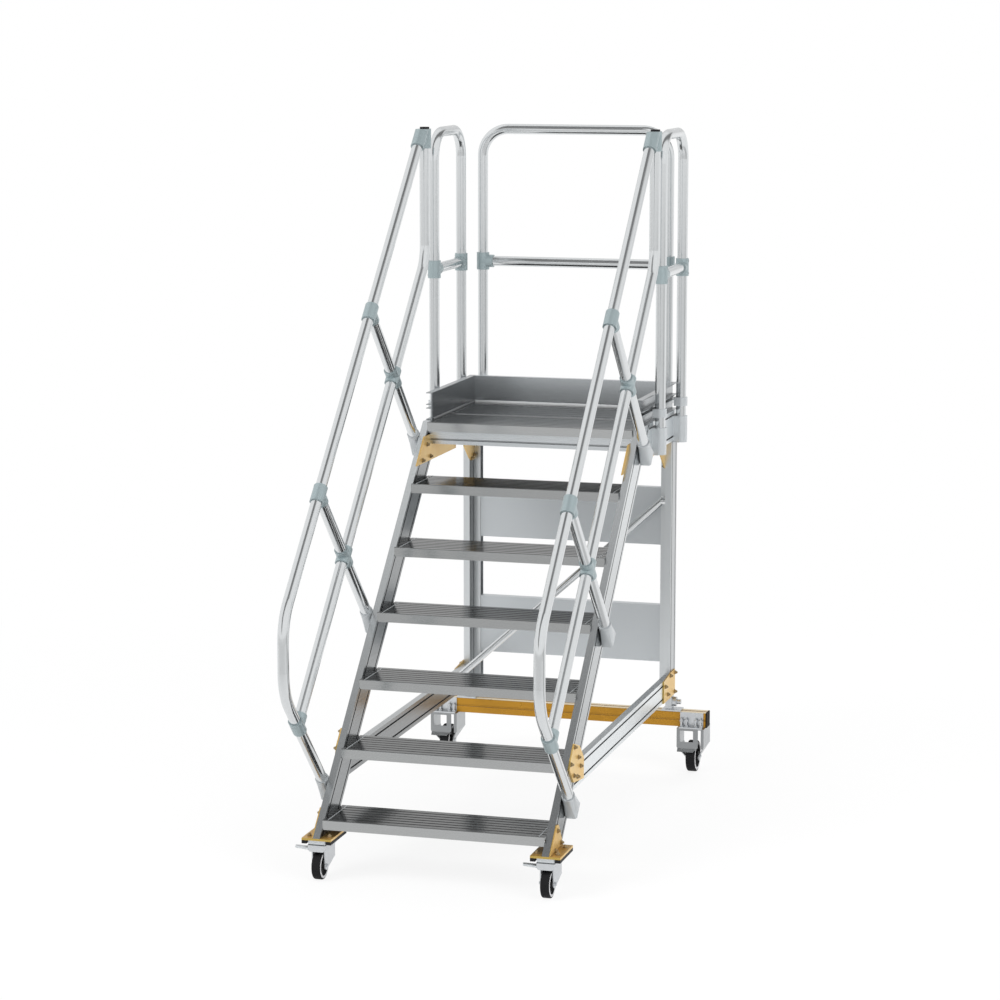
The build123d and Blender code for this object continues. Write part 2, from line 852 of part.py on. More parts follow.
# Diagonal tie, from the left base beam up to the right post
tie_x = inner_x - tie_d / 2 - seat
tie_low = Vector(-tie_x, post_y - tie_low_ahead, base_top - tie_low_drop)
tie_high = Vector(tie_x, post_y + tie_high_behind, base_top - tie_low_drop + tie_rise)
with BuildPart() as tie:
    with BuildSketch(Plane(origin=tie_low, z_dir=tie_high - tie_low)):
        Circle(tie_d / 2)
    extrude(amount=(tie_high - tie_low).length)
    for end, way in ((tie_low, -1), (tie_high, 1)):
        with BuildSketch(side_plane(way * inner_x)):
            with Locations((end.Y, end.Z)):
                Circle(tie_lug_d / 2)
        extrude(amount=-way * tie_lug_thick)
save(tie.part, "diagonal_tie")

# Rear cross beam with its end caps
with BuildPart() as cross_beam:
    with BuildSketch(side_plane(-beam_length / 2)):
        with Locations((beam_y, beam_bottom + beam_size / 2)):
            RectangleRounded(beam_size, beam_size, beam_round)
        for way in (-1, 1):
            with Locations((beam_y + way * beam_size / 2, beam_bottom + beam_size / 2)):
                Rectangle(2 * beam_groove_deep, beam_groove, mode=Mode.SUBTRACT)
            with Locations((beam_y, beam_bottom + beam_size / 2 + way * beam_size / 2)):
                Rectangle(beam_groove, 2 * beam_groove_deep, mode=Mode.SUBTRACT)
    extrude(amount=beam_length)
save(cross_beam.part, "rear_cross_beam")
with BuildPart() as beam_end:
    with BuildSketch(side_plane(beam_length / 2)):
        with Locations((beam_y, beam_bottom + beam_size / 2)):
            RectangleRounded(beam_size, beam_size, beam_round)
    extrude(amount=beam_cap)
save(both_sides(beam_end.part), "cross_beam_caps")

# Foot brackets, between the posts and the cross beam
with BuildPart() as foot_bracket:
    with BuildSketch(Plane.XY.offset(beam_top)):
        with Locations((outer_x, beam_y)):
            Rectangle(foot_plate_length, beam_size)
    extrude(amount=foot_plate_thick)
    with BuildSketch(Plane.XY.offset(beam_top + foot_plate_thick)):
        with Locations(((inner_x + outer_x) / 2, beam_y)):
            Rectangle(stringer_thick, foot_block)
    extrude(amount=base_beam_bottom - beam_top - foot_plate_thick)
with BuildPart() as foot_nut:
    with BuildSketch(side_plane(outer_x)):
        with Locations((beam_y, (base_beam_bottom + beam_top + foot_plate_thick) / 2)):
            Circle(foot_nut_d / 2)
    extrude(amount=foot_nut_length)
    with BuildSketch(side_plane(outer_x + foot_nut_length)):
        with Locations((beam_y, (base_beam_bottom + beam_top + foot_plate_thick) / 2)):
            Circle(foot_pin_d / 2)
    extrude(amount=foot_nut_length)
save(both_sides(Compound(children=[foot_bracket.part, foot_nut.part])), "foot_brackets")

# Gold plates under the stringers, with their uprights and the black pads below
foot_front = slope_at_z(front_face, foot_z)[0]
foot_back = slope_at_z(back_face, foot_z)[0]
foot_middle = (foot_front + foot_back) / 2
mount_x = (inner_x + outer_x) / 2
with BuildPart() as mount_plate:
    with BuildSketch(Plane.XY.offset(mount_plate_z)):
        with Locations((mount_x, foot_middle)):
            Rectangle(mount_plate_width, foot_back - foot_front)
    extrude(amount=mount_plate_thick)
mount_upright = plate(
    outer_x,
    gusset_thick,
    [
        slope_at_z(front_face - upright_margin, foot_z),
        (foot_back, foot_z),
        (foot_back, foot_z + 2 * upright_margin),
        slope_at_z(front_face - upright_top, foot_z + upright_height - upright_margin),
        slope_at_z(front_face - upright_margin, foot_z + upright_height),
    ],
)
with BuildPart() as mount_parts:
    add(mount_plate.part)
    add(mount_upright)
save(both_sides(mount_parts.part), "castor_mount_plates")

with BuildPart() as pads:
    with BuildSketch(Plane.XY.offset(mount_plate_z - pad_thick)):
        for way in (-1, 1):
            pad_x = mount_x + way * (mount_plate_width - pad_width) / 2
            with Locations((pad_x, foot_middle)):
                Rectangle(pad_width, foot_back - foot_front)
    extrude(amount=pad_thick)
save(both_sides(pads.part), "castor_pads")


def hood_outline(x, top, half, shoulder_z, low_half, waist_z):
    """A castor hood's outline seen from the front: its shoulders draw in, down to the floor."""
    Polyline(
        (x - half, top),
        (x + half, top),
        (x + half, shoulder_z),
        (x + low_half, waist_z),
        (x + low_half, 0),
        (x - low_half, 0),
        (x - low_half, waist_z),
        (x - half, shoulder_z),
        close=True,
    )


# Front swivel castors
def swivel_castor(x, y, name):
    """The fixed head of a swivel castor, whose fork and wheel are saved under its side's name."""
    plate_bottom = mount_plate_z - castor_plate_thick
    fork_top = crown_z + fork_sheet
    with BuildPart() as head:
        with BuildSketch(Plane.XY.offset(plate_bottom)):
            with Locations((x, y)):
                RectangleRounded(castor_plate_width, castor_plate_length, castor_plate_round)
        extrude(amount=castor_plate_thick)
        with BuildSketch(Plane.XY.offset(fork_top + swivel_gap)):
            with Locations((x, y)):
                Circle(swivel_d / 2)
        extrude(amount=plate_bottom - fork_top - swivel_gap)

    fork_half = front_tyre_width / 2 + fork_clear + fork_sheet
    hood_half = hood_width / 2
    hood_low = fork_top - hood_drop
    shoulder = hood_low + hood_shoulder
    axle_z = front_wheel_d / 2
    wheel_y = y - front_trail
    with BuildPart() as fork:
        with BuildSketch(front_plane(y + hood_rear)):
            with BuildLine():
                hood_outline(x, fork_top, hood_half, shoulder, fork_half, hood_low)
            make_face()
            with BuildLine():
                hood_outline(
                    x, crown_z, hood_half - fork_sheet, shoulder, fork_half - fork_sheet, hood_low
                )
            make_face(mode=Mode.SUBTRACT)
        extrude(amount=hood_front + hood_rear)
        with BuildSketch(front_plane(y - hood_front + fork_sheet)):
            with BuildLine():
                hood_outline(x, fork_top, hood_half, shoulder, fork_half, hood_low)
            make_face()
        extrude(amount=fork_sheet)
        with BuildSketch(side_plane(x - hood_width)):
            with Locations((y + hood_rear, fork_top)):
                Rectangle(hood_rear + cheek_front, cheek_drop, align=(Align.MAX, Align.MAX))
            with Locations((wheel_y, axle_z)):
                Circle(fork_boss_d / 2)
            make_hull()
            with Locations((y + hood_rear, fork_top)):
                Rectangle(hood_rear + hood_front, hood_drop, align=(Align.MAX, Align.MAX))
        extrude(amount=2 * hood_width, mode=Mode.INTERSECT)
        fillet(fork.edges().filter_by(Axis.Z).group_by(Axis.Y)[0], hood_round)
        with BuildSketch(Plane.XY.offset(crown_z)):
            with Locations((x, y)):
                Circle(kingpin_d / 2)
        extrude(amount=-kingpin_drop)
    with BuildPart() as axle:
        with BuildSketch(side_plane(x - fork_half + fork_sheet)):
            with Locations((wheel_y, axle_z)):
                Circle(axle_d / 2)
        extrude(amount=2 * (fork_half - fork_sheet))
    with BuildPart() as lever:
        with BuildSketch(Plane.XY.offset(lever_z)):
            with Locations((x - lever_root[0], y - lever_root[1])):
                Circle(lever_width / 2)
            with Locations((x - lever_end[0], y - lever_end[1])):
                Circle(lever_tip / 2)
            make_hull()
            with Locations((x - hood_half, y - hood_front)):
                Rectangle(
                    hood_width,
                    hood_front + hood_rear,
                    align=(Align.MIN, Align.MIN),
                    mode=Mode.SUBTRACT,
                )
        extrude(amount=lever_thick)
    save(Compound(children=[fork.part, axle.part, lever.part]), f"front_fork_{name}")
    wheel(x, wheel_y, front_wheel_d, front_tyre_width, fork_clear, f"front_{{}}_{name}")
    return head.part


def wheel(x, y, diameter, width, side_clear, name):
    """A tyre and a rim on their axle, turned about the width."""
    middle = diameter / 2
    rim_r = middle * tyre_bore_share
    hub_r = middle * hub_share
    bore_r = axle_d / 2 + axle_clear
    with BuildPart() as tyre:
        with BuildSketch(side_plane(x - width / 2)):
            with Locations((y, middle)):
                Circle(middle)
                Circle(rim_r, mode=Mode.SUBTRACT)
        extrude(amount=width)
        crown = tyre.edges().filter_by(GeomType.CIRCLE).sort_by(SortBy.RADIUS)[-2:]
        fillet(crown, width * tyre_round_share)
    with BuildPart() as rim:
        with BuildSketch(side_plane(x - width / 2)):
            with Locations((y, middle)):
                Circle(rim_r)
                Circle(bore_r, mode=Mode.SUBTRACT)
        extrude(amount=width)
        for face_x, inward in ((x - width / 2, 1), (x + width / 2, -1)):
            with BuildSketch(side_plane(face_x)):
                with Locations((y, middle)):
                    Circle(middle * recess_share)
                    Circle(hub_r, mode=Mode.SUBTRACT)
            extrude(amount=inward * width * recess_depth_share, mode=Mode.SUBTRACT)
        with BuildSketch(side_plane(x - width / 2 - side_clear + hub_clear)):
            with Locations((y, middle)):
                Circle(hub_r)
                Circle(bore_r, mode=Mode.SUBTRACT)
        extrude(amount=width + 2 * (side_clear - hub_clear))
    save(tyre.part, name.format("tyre"))
    save(rim.part, name.format("rim"))


swivel_y = foot_middle
castor_heads = [
    swivel_castor(mount_x, swivel_y, "right"),
    swivel_castor(-mount_x, swivel_y, "left"),
]
save(Compound(children=castor_heads), "front_castor_plates")

# Rear fixed castors: sheet housings under the cross beam, both turned the same way
housing_top = beam_bottom
housing_front = beam_y - housing_length / 2
housing_half = housing_width / 2
foot_half = housing_foot_width / 2
shoulder_z = housing_top - housing_shoulder
front_plate_low = housing_top - front_plate_height
rear_axle_z = rear_wheel_d / 2
rear_castor_x = beam_length / 2 - castor_inset


def fixed_castor(x, name):
    """The housing and the axle of a fixed castor, whose wheel is saved under its side's name."""
    plate_right = x - housing_half + front_plate_width
    draw_in = (shoulder_z - front_plate_low) / (shoulder_z - rear_axle_z) * (housing_half - foot_half)
    lip_left = x - housing_half + draw_in
    with BuildPart() as housing:
        with BuildSketch(front_plane(beam_y + housing_length / 2)):
            with BuildLine():
                hood_outline(x, housing_top, housing_half, shoulder_z, foot_half, rear_axle_z)
            make_face()
            with BuildLine():
                hood_outline(
                    x,
                    housing_top - housing_sheet,
                    housing_half - housing_sheet,
                    shoulder_z,
                    foot_half - housing_sheet,
                    rear_axle_z,
                )
            make_face(mode=Mode.SUBTRACT)
        extrude(amount=housing_length)
        with BuildSketch(side_plane(x - housing_width)):
            with Locations((beam_y, housing_top - housing_shoulder / 2)):
                Rectangle(housing_length, housing_shoulder)
            with Locations((beam_y, rear_axle_z)):
                Circle(housing_boss_d / 2)
            make_hull()
        extrude(amount=2 * housing_width, mode=Mode.INTERSECT)
        with BuildSketch(front_plane(housing_front + housing_sheet)):
            with BuildLine():
                hood_outline(x, housing_top, housing_half, shoulder_z, foot_half, rear_axle_z)
            make_face()
            with Locations((x, housing_top - front_plate_height / 2)):
                Rectangle(housing_width, front_plate_height, mode=Mode.INTERSECT)
            with Locations((plate_right, front_plate_low)):
                Rectangle(
                    housing_width - front_plate_width - cheek_flange,
                    front_plate_height - housing_sheet,
                    align=(Align.MIN, Align.MIN),
                    mode=Mode.SUBTRACT,
                )
            window_x = x - housing_half + window_inset
            with Locations((window_x + window_wide / 2, housing_top - window_drop - window_high / 2)):
                RectangleRounded(window_wide, window_high, window_round, mode=Mode.SUBTRACT)
        extrude(amount=housing_sheet)
        with BuildSketch(side_plane(lip_left)):
            with BuildLine():
                Polyline(
                    (housing_front, front_plate_low),
                    (housing_front + housing_sheet, front_plate_low),
                    (housing_front + housing_sheet - lip_reach, front_plate_low - lip_drop),
                    (housing_front - lip_reach, front_plate_low - lip_drop),
                    close=True,
                )
            make_face()
        extrude(amount=plate_right - lip_left)
        with BuildSketch(front_plane(housing_front + housing_sheet)):
            with BuildLine():
                Polyline(
                    (plate_right - lip_chamfer, front_plate_low - lip_drop),
                    (plate_right, front_plate_low - lip_drop),
                    (plate_right, front_plate_low - lip_drop + lip_chamfer),
                    close=True,
                )
            make_face()
        extrude(amount=housing_sheet + lip_reach, mode=Mode.SUBTRACT)
    with BuildPart() as axle:
        with BuildSketch(side_plane(x - foot_half + housing_sheet)):
            with Locations((beam_y, rear_axle_z)):
                Circle(axle_d / 2)
        extrude(amount=housing_foot_width - 2 * housing_sheet)
    side_clear = foot_half - housing_sheet - rear_tyre_width / 2
    wheel(x, beam_y, rear_wheel_d, rear_tyre_width, side_clear, f"rear_{{}}_{name}")
    return [housing.part, axle.part]


housings = fixed_castor(rear_castor_x, "right") + fixed_castor(-rear_castor_x, "left")
save(Compound(children=housings), "rear_castor_housings")

# Plates that hold the rear castors to the beam's front face
with BuildPart() as castor_bracket:
    with BuildSketch(front_plane(beam_y - beam_size / 2)):
        with Locations((rear_castor_x, beam_bottom + beam_size / 2)):
            Rectangle(bracket_plate_length, beam_size)
    extrude(amount=bracket_plate_thick)
    with BuildSketch(Plane.XY.offset(beam_bottom)):
        flange = (housing_length - beam_size) / 2
        with Locations((rear_castor_x, beam_y - beam_size / 2 - flange / 2)):
            Rectangle(bracket_plate_length, flange)
    extrude(amount=bracket_plate_thick)
save(both_sides(castor_bracket.part), "rear_castor_brackets")
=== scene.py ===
"""Finishes, small fittings and studio of mobile platform stairs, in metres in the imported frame."""

from math import atan2, cos, pi, radians, sin, tau

import bmesh
import bpy
from bpy.props import FloatProperty, FloatVectorProperty, IntProperty, PointerProperty
from bpy.types import Operator, Panel, PropertyGroup
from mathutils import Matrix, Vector


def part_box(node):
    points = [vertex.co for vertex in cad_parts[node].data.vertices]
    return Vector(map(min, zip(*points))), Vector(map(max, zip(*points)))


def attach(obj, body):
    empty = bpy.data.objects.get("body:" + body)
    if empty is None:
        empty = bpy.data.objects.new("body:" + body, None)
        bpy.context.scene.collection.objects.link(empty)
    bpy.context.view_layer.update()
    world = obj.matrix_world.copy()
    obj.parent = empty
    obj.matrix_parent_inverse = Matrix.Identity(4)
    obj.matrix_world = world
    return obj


bl_info = {
    "name": "Platform stairs dressing",
    "version": (1, 0, 0),
    "blender": (4, 5, 0),
    "location": "3D View > Sidebar > Stairs",
    "description": "Finishes, bolts, castor fittings and the studio of a mobile platform stair",
    "category": "Object",
}

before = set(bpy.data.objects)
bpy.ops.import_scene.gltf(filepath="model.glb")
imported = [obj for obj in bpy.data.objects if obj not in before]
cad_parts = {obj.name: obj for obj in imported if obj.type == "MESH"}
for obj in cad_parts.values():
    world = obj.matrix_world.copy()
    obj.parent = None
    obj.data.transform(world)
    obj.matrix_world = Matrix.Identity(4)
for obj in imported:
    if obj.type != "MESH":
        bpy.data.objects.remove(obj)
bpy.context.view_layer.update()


def node_box(name):
    """The lowest and highest corner of a node as vectors."""
    low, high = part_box(name)
    return Vector(low), Vector(high)


# Places read from the frame
tread_low, tread_high = node_box("tread_1")
next_low, next_high = node_box("tread_2")
deck_low, deck_high = node_box("platform_deck")
nosing_low, nosing_high = node_box("platform_nosing")
beam_low = node_box("rear_cross_beam")[0]
base_low, base_high = node_box("base_beams")
post_low, post_high = node_box("rear_posts")
rail_low, rail_high = node_box("handrail_right")
pad_low, pad_high = node_box("castor_pads")
SIDE_BEAM_Z = node_box("platform_side_beams")[0].z
SLOPE = atan2(next_high.z - tread_high.z, next_low.y - tread_low.y)
INNER_X = tread_high.x
OUTER_X = node_box("stringers")[1].x
MIDDLE_X = (INNER_X + OUTER_X) / 2
CASTOR_Y = (pad_low.y + pad_high.y) / 2
RAIL_X = (rail_low.x + rail_high.x) / 2
TUBE_R = (rail_high.x - rail_low.x) / 2
DECK_Z = deck_high.z
NOSING_Y = tread_low.y

SIDES = (-1, 1)
RIGHT = Vector((1, 0, 0))
BACK = Vector((0, 1, 0))
UP = Vector((0, 0, 1))

# Sheets, clearances and spacings
MOUNT_THICK = 0.008
BRACKET_LENGTH = 0.094
BRACKET_THICK = 0.005
CHEEK_SHEET = 0.004
HUB_CLEAR = 0.0015
DISC_CLEAR = 0.0006
HOUSING_BOLT_REACH = 0.022
SCREW_SPREAD = 0.024

# Bolts and grub screws, as shares of their own sizes
HEAD_CHAMFER = 0.2
HEAD_TOP = 0.88
THREAD_RADIUS = 0.3
THREAD_REACH = 0.8
THREAD_CHAMFER = 0.2
THREAD_TOP = 0.8
SHAFT_RADIUS = 0.32
SCREW_LIFT = 0.35
SCREW_MOUTH = 0.62
SCREW_FLOOR = 0.55
AXLE_NUT_SCALE = 0.85
HOUSING_NUT_SCALES = (0.9, 0.95)

# Wheels, as shares of the tyre's radius, its half width and its recess
RECESS_RADIUS = 0.72
RECESS_DEPTH = 0.3
HUB_RADIUS = 0.3
DISC_CREST = 0.35
DISC_DISH = 0.4
RING_RADII = (0.74, 0.75, 0.885, 0.895)

# Brake lever: its front edge from the castor's middle, its depth under the fork's top, and the
# tip of its bead as shares of the bead's radius
LEVER_EDGE = ((-0.030, -0.081), (-0.081, -0.067))
LEVER_DROP = 0.0135
LEVER_TIP_REACH = 0.5
LEVER_TIP_RADIUS = 0.7

# Slant of the joint cover's long edges, as a share of its height
COVER_SLANT = 1.5
# Faces that meet at more than this have a sharp edge
SHARP_ANGLE = radians(35)

# Bolts of the gold plates, as (y, z) from a corner of the frame that the plate is fixed to
PLATFORM_BOLTS = (
    (0.093, 0.039),
    (-0.016, 0.037),
    (0.224, 0.024),
    (0.027, -0.014),
    (-0.072, -0.017),
)
POST_TOP_BOLTS = ((0.042, -0.090), (0.018, -0.102))
BASE_FRONT_BOLTS = (
    (-0.082, 0.066),
    (-0.030, 0.018),
    (-0.134, 0.016),
    (-0.001, -0.020),
    (-0.092, -0.034),
    (-0.043, -0.049),
)
BASE_REAR_BOLTS = (
    (-0.026, 0.088),
    (-0.103, 0.090),
    (-0.190, 0.064),
    (-0.026, 0.010),
    (-0.148, 0.024),
)
UPRIGHT_BOLTS = ((0.100, 0.075), (0.145, 0.022), (0.068, 0.012))
# Bolts through a castor's gold plate, as (x, y) from its middle, and of a housing, as x
PLATE_BOLTS = ((-0.038, -0.051), (0.036, -0.051), (0.036, 0.045), (-0.038, 0.045))
HOUSING_BOLTS = (-0.039, -0.019, 0.019, 0.038)


class StairsFinish(PropertyGroup):
    """Colours of the finishes."""

    tube: FloatVectorProperty(
        name="Tube", description="Polished tube", subtype="COLOR", default=(0.71, 0.73, 0.74)
    )
    profile: FloatVectorProperty(
        name="Profile", description="Plain extrusions", subtype="COLOR", default=(0.54, 0.56, 0.57)
    )
    # Painted light: the profile's colour made 1.3 times lighter for the posts
    post: FloatVectorProperty(
        name="Post", description="Rear posts", subtype="COLOR", default=(0.702, 0.728, 0.741)
    )
    front_beam: FloatVectorProperty(
        name="Front beam", description="Nosing's beam", subtype="COLOR", default=(0.68, 0.71, 0.73)
    )
    tread: FloatVectorProperty(
        name="Tread", description="Ribbed planks", subtype="COLOR", default=(0.42, 0.43, 0.43)
    )
    # Painted light: the tread's colour made 1.22 times lighter for the deck and nosing
    deck: FloatVectorProperty(
        name="Deck", description="Deck's planks", subtype="COLOR", default=(0.5124, 0.5246, 0.5246)
    )
    # Painted light: the rear kick plate's colour made 1.25 times lighter for the side plates
    kick_side: FloatVectorProperty(
        name="Side kick plate",
        description="Plates at the platform's sides",
        subtype="COLOR",
        default=(0.375, 0.39375, 0.40625),
    )
    kick_rear: FloatVectorProperty(
        name="Rear kick plate",
        description="Plate at the platform's back",
        subtype="COLOR",
        default=(0.30, 0.315, 0.325),
    )
    trim: FloatVectorProperty(
        name="Bright trim", description="Rear bead", subtype="COLOR", default=(0.80, 0.81, 0.82)
    )
    edge: FloatVectorProperty(
        name="Dark trim", description="Cover, beads", subtype="COLOR", default=(0.23, 0.235, 0.24)
    )
    casting: FloatVectorProperty(
        name="Junction", description="Cast junctions", subtype="COLOR", default=(0.33, 0.395, 0.41)
    )
    bracket: FloatVectorProperty(
        name="Bracket", description="Cast brackets", subtype="COLOR", default=(0.50, 0.525, 0.54)
    )
    # Painted light: the bracket's colour made 1.12 times lighter for the sockets
    socket: FloatVectorProperty(
        name="Socket", description="Guards' sockets", subtype="COLOR", default=(0.56, 0.588, 0.6048)
    )
    panel: FloatVectorProperty(
        name="Panel", description="Cross panels", subtype="COLOR", default=(0.60, 0.63, 0.65)
    )
    gold: FloatVectorProperty(
        name="Gold plate", description="Gussets' sides", subtype="COLOR", default=(0.76, 0.47, 0.17)
    )
    # Painted shade: the gold's upper faces and faces ahead in darker copies of it
    gold_top_shade: FloatVectorProperty(
        name="Gold top", description="Upper faces", subtype="COLOR", default=(0.50, 0.30, 0.08)
    )
    gold_front_shade: FloatVectorProperty(
        name="Gold edge", description="Front edges", subtype="COLOR", default=(0.46, 0.32, 0.08)
    )
    beam: FloatVectorProperty(
        name="Cross beam", description="Anodised beam", subtype="COLOR", default=(0.47, 0.23, 0.018)
    )
    # Painted highlight: the beam's upper face in a paler copy of it
    beam_top_highlight: FloatVectorProperty(
        name="Beam top", description="Upper face", subtype="COLOR", default=(0.72, 0.60, 0.40)
    )
    bolt: FloatVectorProperty(
        name="Bolt", description="Passivated bolts", subtype="COLOR", default=(0.36, 0.26, 0.14)
    )
    zinc: FloatVectorProperty(
        name="Zinc", description="Galvanised steel", subtype="COLOR", default=(0.62, 0.64, 0.66)
    )
    housing: FloatVectorProperty(
        name="Housing", description="Rear castors", subtype="COLOR", default=(0.44, 0.455, 0.465)
    )
    ring: FloatVectorProperty(
        name="Wheel ring", description="Wheels' sides", subtype="COLOR", default=(0.55, 0.55, 0.56)
    )
    rim: FloatVectorProperty(
        name="Rim", description="Castor rims", subtype="COLOR", default=(0.03, 0.03, 0.031)
    )
    rubber: FloatVectorProperty(
        name="Rubber", description="Castor tyres", subtype="COLOR", default=(0.012, 0.012, 0.013)
    )
    plastic: FloatVectorProperty(
        name="Plastic", description="Plugs and pads", subtype="COLOR", default=(0.014, 0.014, 0.015)
    )
    cap: FloatVectorProperty(
        name="Beam cap", description="Rear beam", subtype="COLOR", default=(0.010, 0.007, 0.006)
    )


class StairsFittings(PropertyGroup):
    """Sizes of the small fittings."""

    bolt_flats: FloatProperty(
        name="Bolt head", description="Across the flats", default=0.013, unit="LENGTH"
    )
    bolt_height: FloatProperty(
        name="Head height", description="Height of a bolt head", default=0.0055, unit="LENGTH"
    )
    washer: FloatProperty(
        name="Washer", description="Washer diameter", default=0.018, unit="LENGTH"
    )
    washer_height: FloatProperty(
        name="Washer height", description="Washer thickness", default=0.0016, unit="LENGTH"
    )
    screw: FloatProperty(
        name="Grub screw", description="Diameter of a grub screw", default=0.008, unit="LENGTH"
    )
    ring_lift: FloatProperty(
        name="Ring lift", description="Height of a wheel's side ring", default=0.0008, unit="LENGTH"
    )
    lever_bead: FloatProperty(
        name="Lever bead", description="Radius of a lever's bead", default=0.004, unit="LENGTH"
    )
    lip_half: FloatProperty(
        name="Lip half width", description="Half of a plate's lip", default=0.031, unit="LENGTH"
    )
    lip_thick: FloatProperty(
        name="Lip thickness", description="Sheet of a plate's lip", default=0.004, unit="LENGTH"
    )
    lip_round: FloatProperty(
        name="Lip round", description="Rounding of that lip's foot", default=0.002, unit="LENGTH"
    )
    round_sides: IntProperty(
        name="Round sides", description="Sides of a round fitting", default=20, min=8
    )


class StairsTrim(PropertyGroup):
    """Sizes of the trim on the platform and the treads."""

    cover_lap: FloatProperty(
        name="Cover lap", description="Joint cover over each plank", default=0.0045, unit="LENGTH"
    )
    cover_height: FloatProperty(
        name="Cover height", description="Joint cover over the deck", default=0.0016, unit="LENGTH"
    )
    edge_round: FloatProperty(
        name="Bead radius", description="Beads at the side plates", default=0.006, unit="LENGTH"
    )
    edge_lift: FloatProperty(
        name="Bead lift", description="Deck to a side bead's middle", default=0.002, unit="LENGTH"
    )
    bead_depth: FloatProperty(
        name="Rear bead depth", description="Bead at the rear plate", default=0.006, unit="LENGTH"
    )
    bead_height: FloatProperty(
        name="Rear bead height", description="Deck to its top", default=0.0075, unit="LENGTH"
    )
    seam_inset: FloatProperty(
        name="Seam inset", description="Tread's end to its bead", default=0.019, unit="LENGTH"
    )
    seam_width: FloatProperty(
        name="Seam width", description="Bead near a tread's end", default=0.004, unit="LENGTH"
    )
    seam_height: FloatProperty(
        name="Seam height", description="That bead over the ribs", default=0.0012, unit="LENGTH"
    )


class StairsStage(PropertyGroup):
    """Camera and floor."""

    camera_x: FloatProperty(
        name="Camera right", description="To the right of the middle", default=3.0565, unit="LENGTH"
    )
    camera_ahead: FloatProperty(
        name="Camera ahead", description="Ahead of the first nosing", default=9.7891, unit="LENGTH"
    )
    camera_z: FloatProperty(
        name="Camera height", description="Over the floor", default=3.0322, unit="LENGTH"
    )
    yaw: FloatProperty(
        name="Yaw", description="Turn to the left", default=radians(16.027), subtype="ANGLE"
    )
    pitch: FloatProperty(
        name="Pitch", description="Turn downwards", default=radians(9.222), subtype="ANGLE"
    )
    lens: FloatProperty(name="Lens", description="Focal length in mm", default=109.88)
    floor: FloatProperty(
        name="Floor", description="Side of the floor", default=60.0, unit="LENGTH"
    )


# Finishes: each is a small node graph

# Where each source starts to count, and where it counts in full
FACING_SPAN = (0.6, 0.9)
SIDE_SPAN = (0.1, 0.25)
NOISE_SPAN = (0.3, 0.7)
# The last span, colour and samples are of the painted shade in grooves and corners
CREASE_SHADE_SPAN = (0.3, 0.8)
CREASE_SHADE_COLOUR = (0.02, 0.02, 0.022)
CREASE_SHADE_SAMPLES = 6
# Share of the colour on faces that look at the stairs' middle: painted shade
INNER_SHADE_SHARE = 0.5
# Greener end of a gold skin, as shares of red, green and blue
GREENER = (0.86, 1.02, 0.9)

# Stretch of the grain, least along the piece
LEVEL_BACK = (60, 0.4, 60)
LEVEL_ACROSS = (0.4, 60, 60)
UPRIGHT = (60, 60, 0.4)
PLANK = (0.3, 40, 40)
SHEET = (0.4, 40, 40)

# Painted light and shade over the height, darker at the foot and lighter at the head: (foot, head,
# share of the colour at the foot, share at the head)
STRINGER_SHADE_CLIMB = (0.2, 1.45, 0.68, 1.26)
REAR_KICK_SHADE_CLIMB = (DECK_Z, DECK_Z + 0.13, 1.35, 2.1)


def shade(colour, factor):
    """A colour made darker or lighter."""
    return tuple(min(1, channel * factor) for channel in colour)


class Graph:
    """A node tree under construction."""

    def __init__(self, tree):
        self.tree = tree

    def node(self, kind, **settings):
        """A node with settings: inputs by their label, the rest as attributes."""
        made = self.tree.nodes.new(kind)
        for key, value in settings.items():
            label = key.replace("_", " ")
            if label in made.inputs:
                made.inputs[label].default_value = value
            else:
                setattr(made, key, value)
        return made

    def link(self, source, target):
        self.tree.links.new(source, target)

    def combine(self, operation, first, second):
        """One operation on two values, each a socket or a number."""
        made = self.node("ShaderNodeMath", operation=operation)
        for value, target in zip((first, second), made.inputs):
            if isinstance(value, bpy.types.NodeSocket):
                self.link(value, target)
            else:
                target.default_value = value
        return made.outputs[0]

    def spread(self, source, low, high, start, end):
        """A source between start and end mapped to low and high, with soft ends."""
        mapped = self.node("ShaderNodeMapRange", interpolation_type="SMOOTHSTEP")
        mapped.inputs["From Min"].default_value = start
        mapped.inputs["From Max"].default_value = end
        mapped.inputs["To Min"].default_value = low
        mapped.inputs["To Max"].default_value = high
        self.link(source, mapped.inputs["Value"])
        return mapped.outputs["Result"]

    def window(self, source, rise, fall):
        """1 from the end of a rise to the start of a fall, and 0 outside them."""
        risen = self.spread(source, 0, 1, *rise)
        return self.combine("MULTIPLY", risen, self.spread(source, 1, 0, *fall))

    def split(self, source):
        """The three parts of a vector."""
        parts = self.node("ShaderNodeSeparateXYZ")
        self.link(source, parts.inputs["Vector"])
        return parts.outputs["X"], parts.outputs["Y"], parts.outputs["Z"]


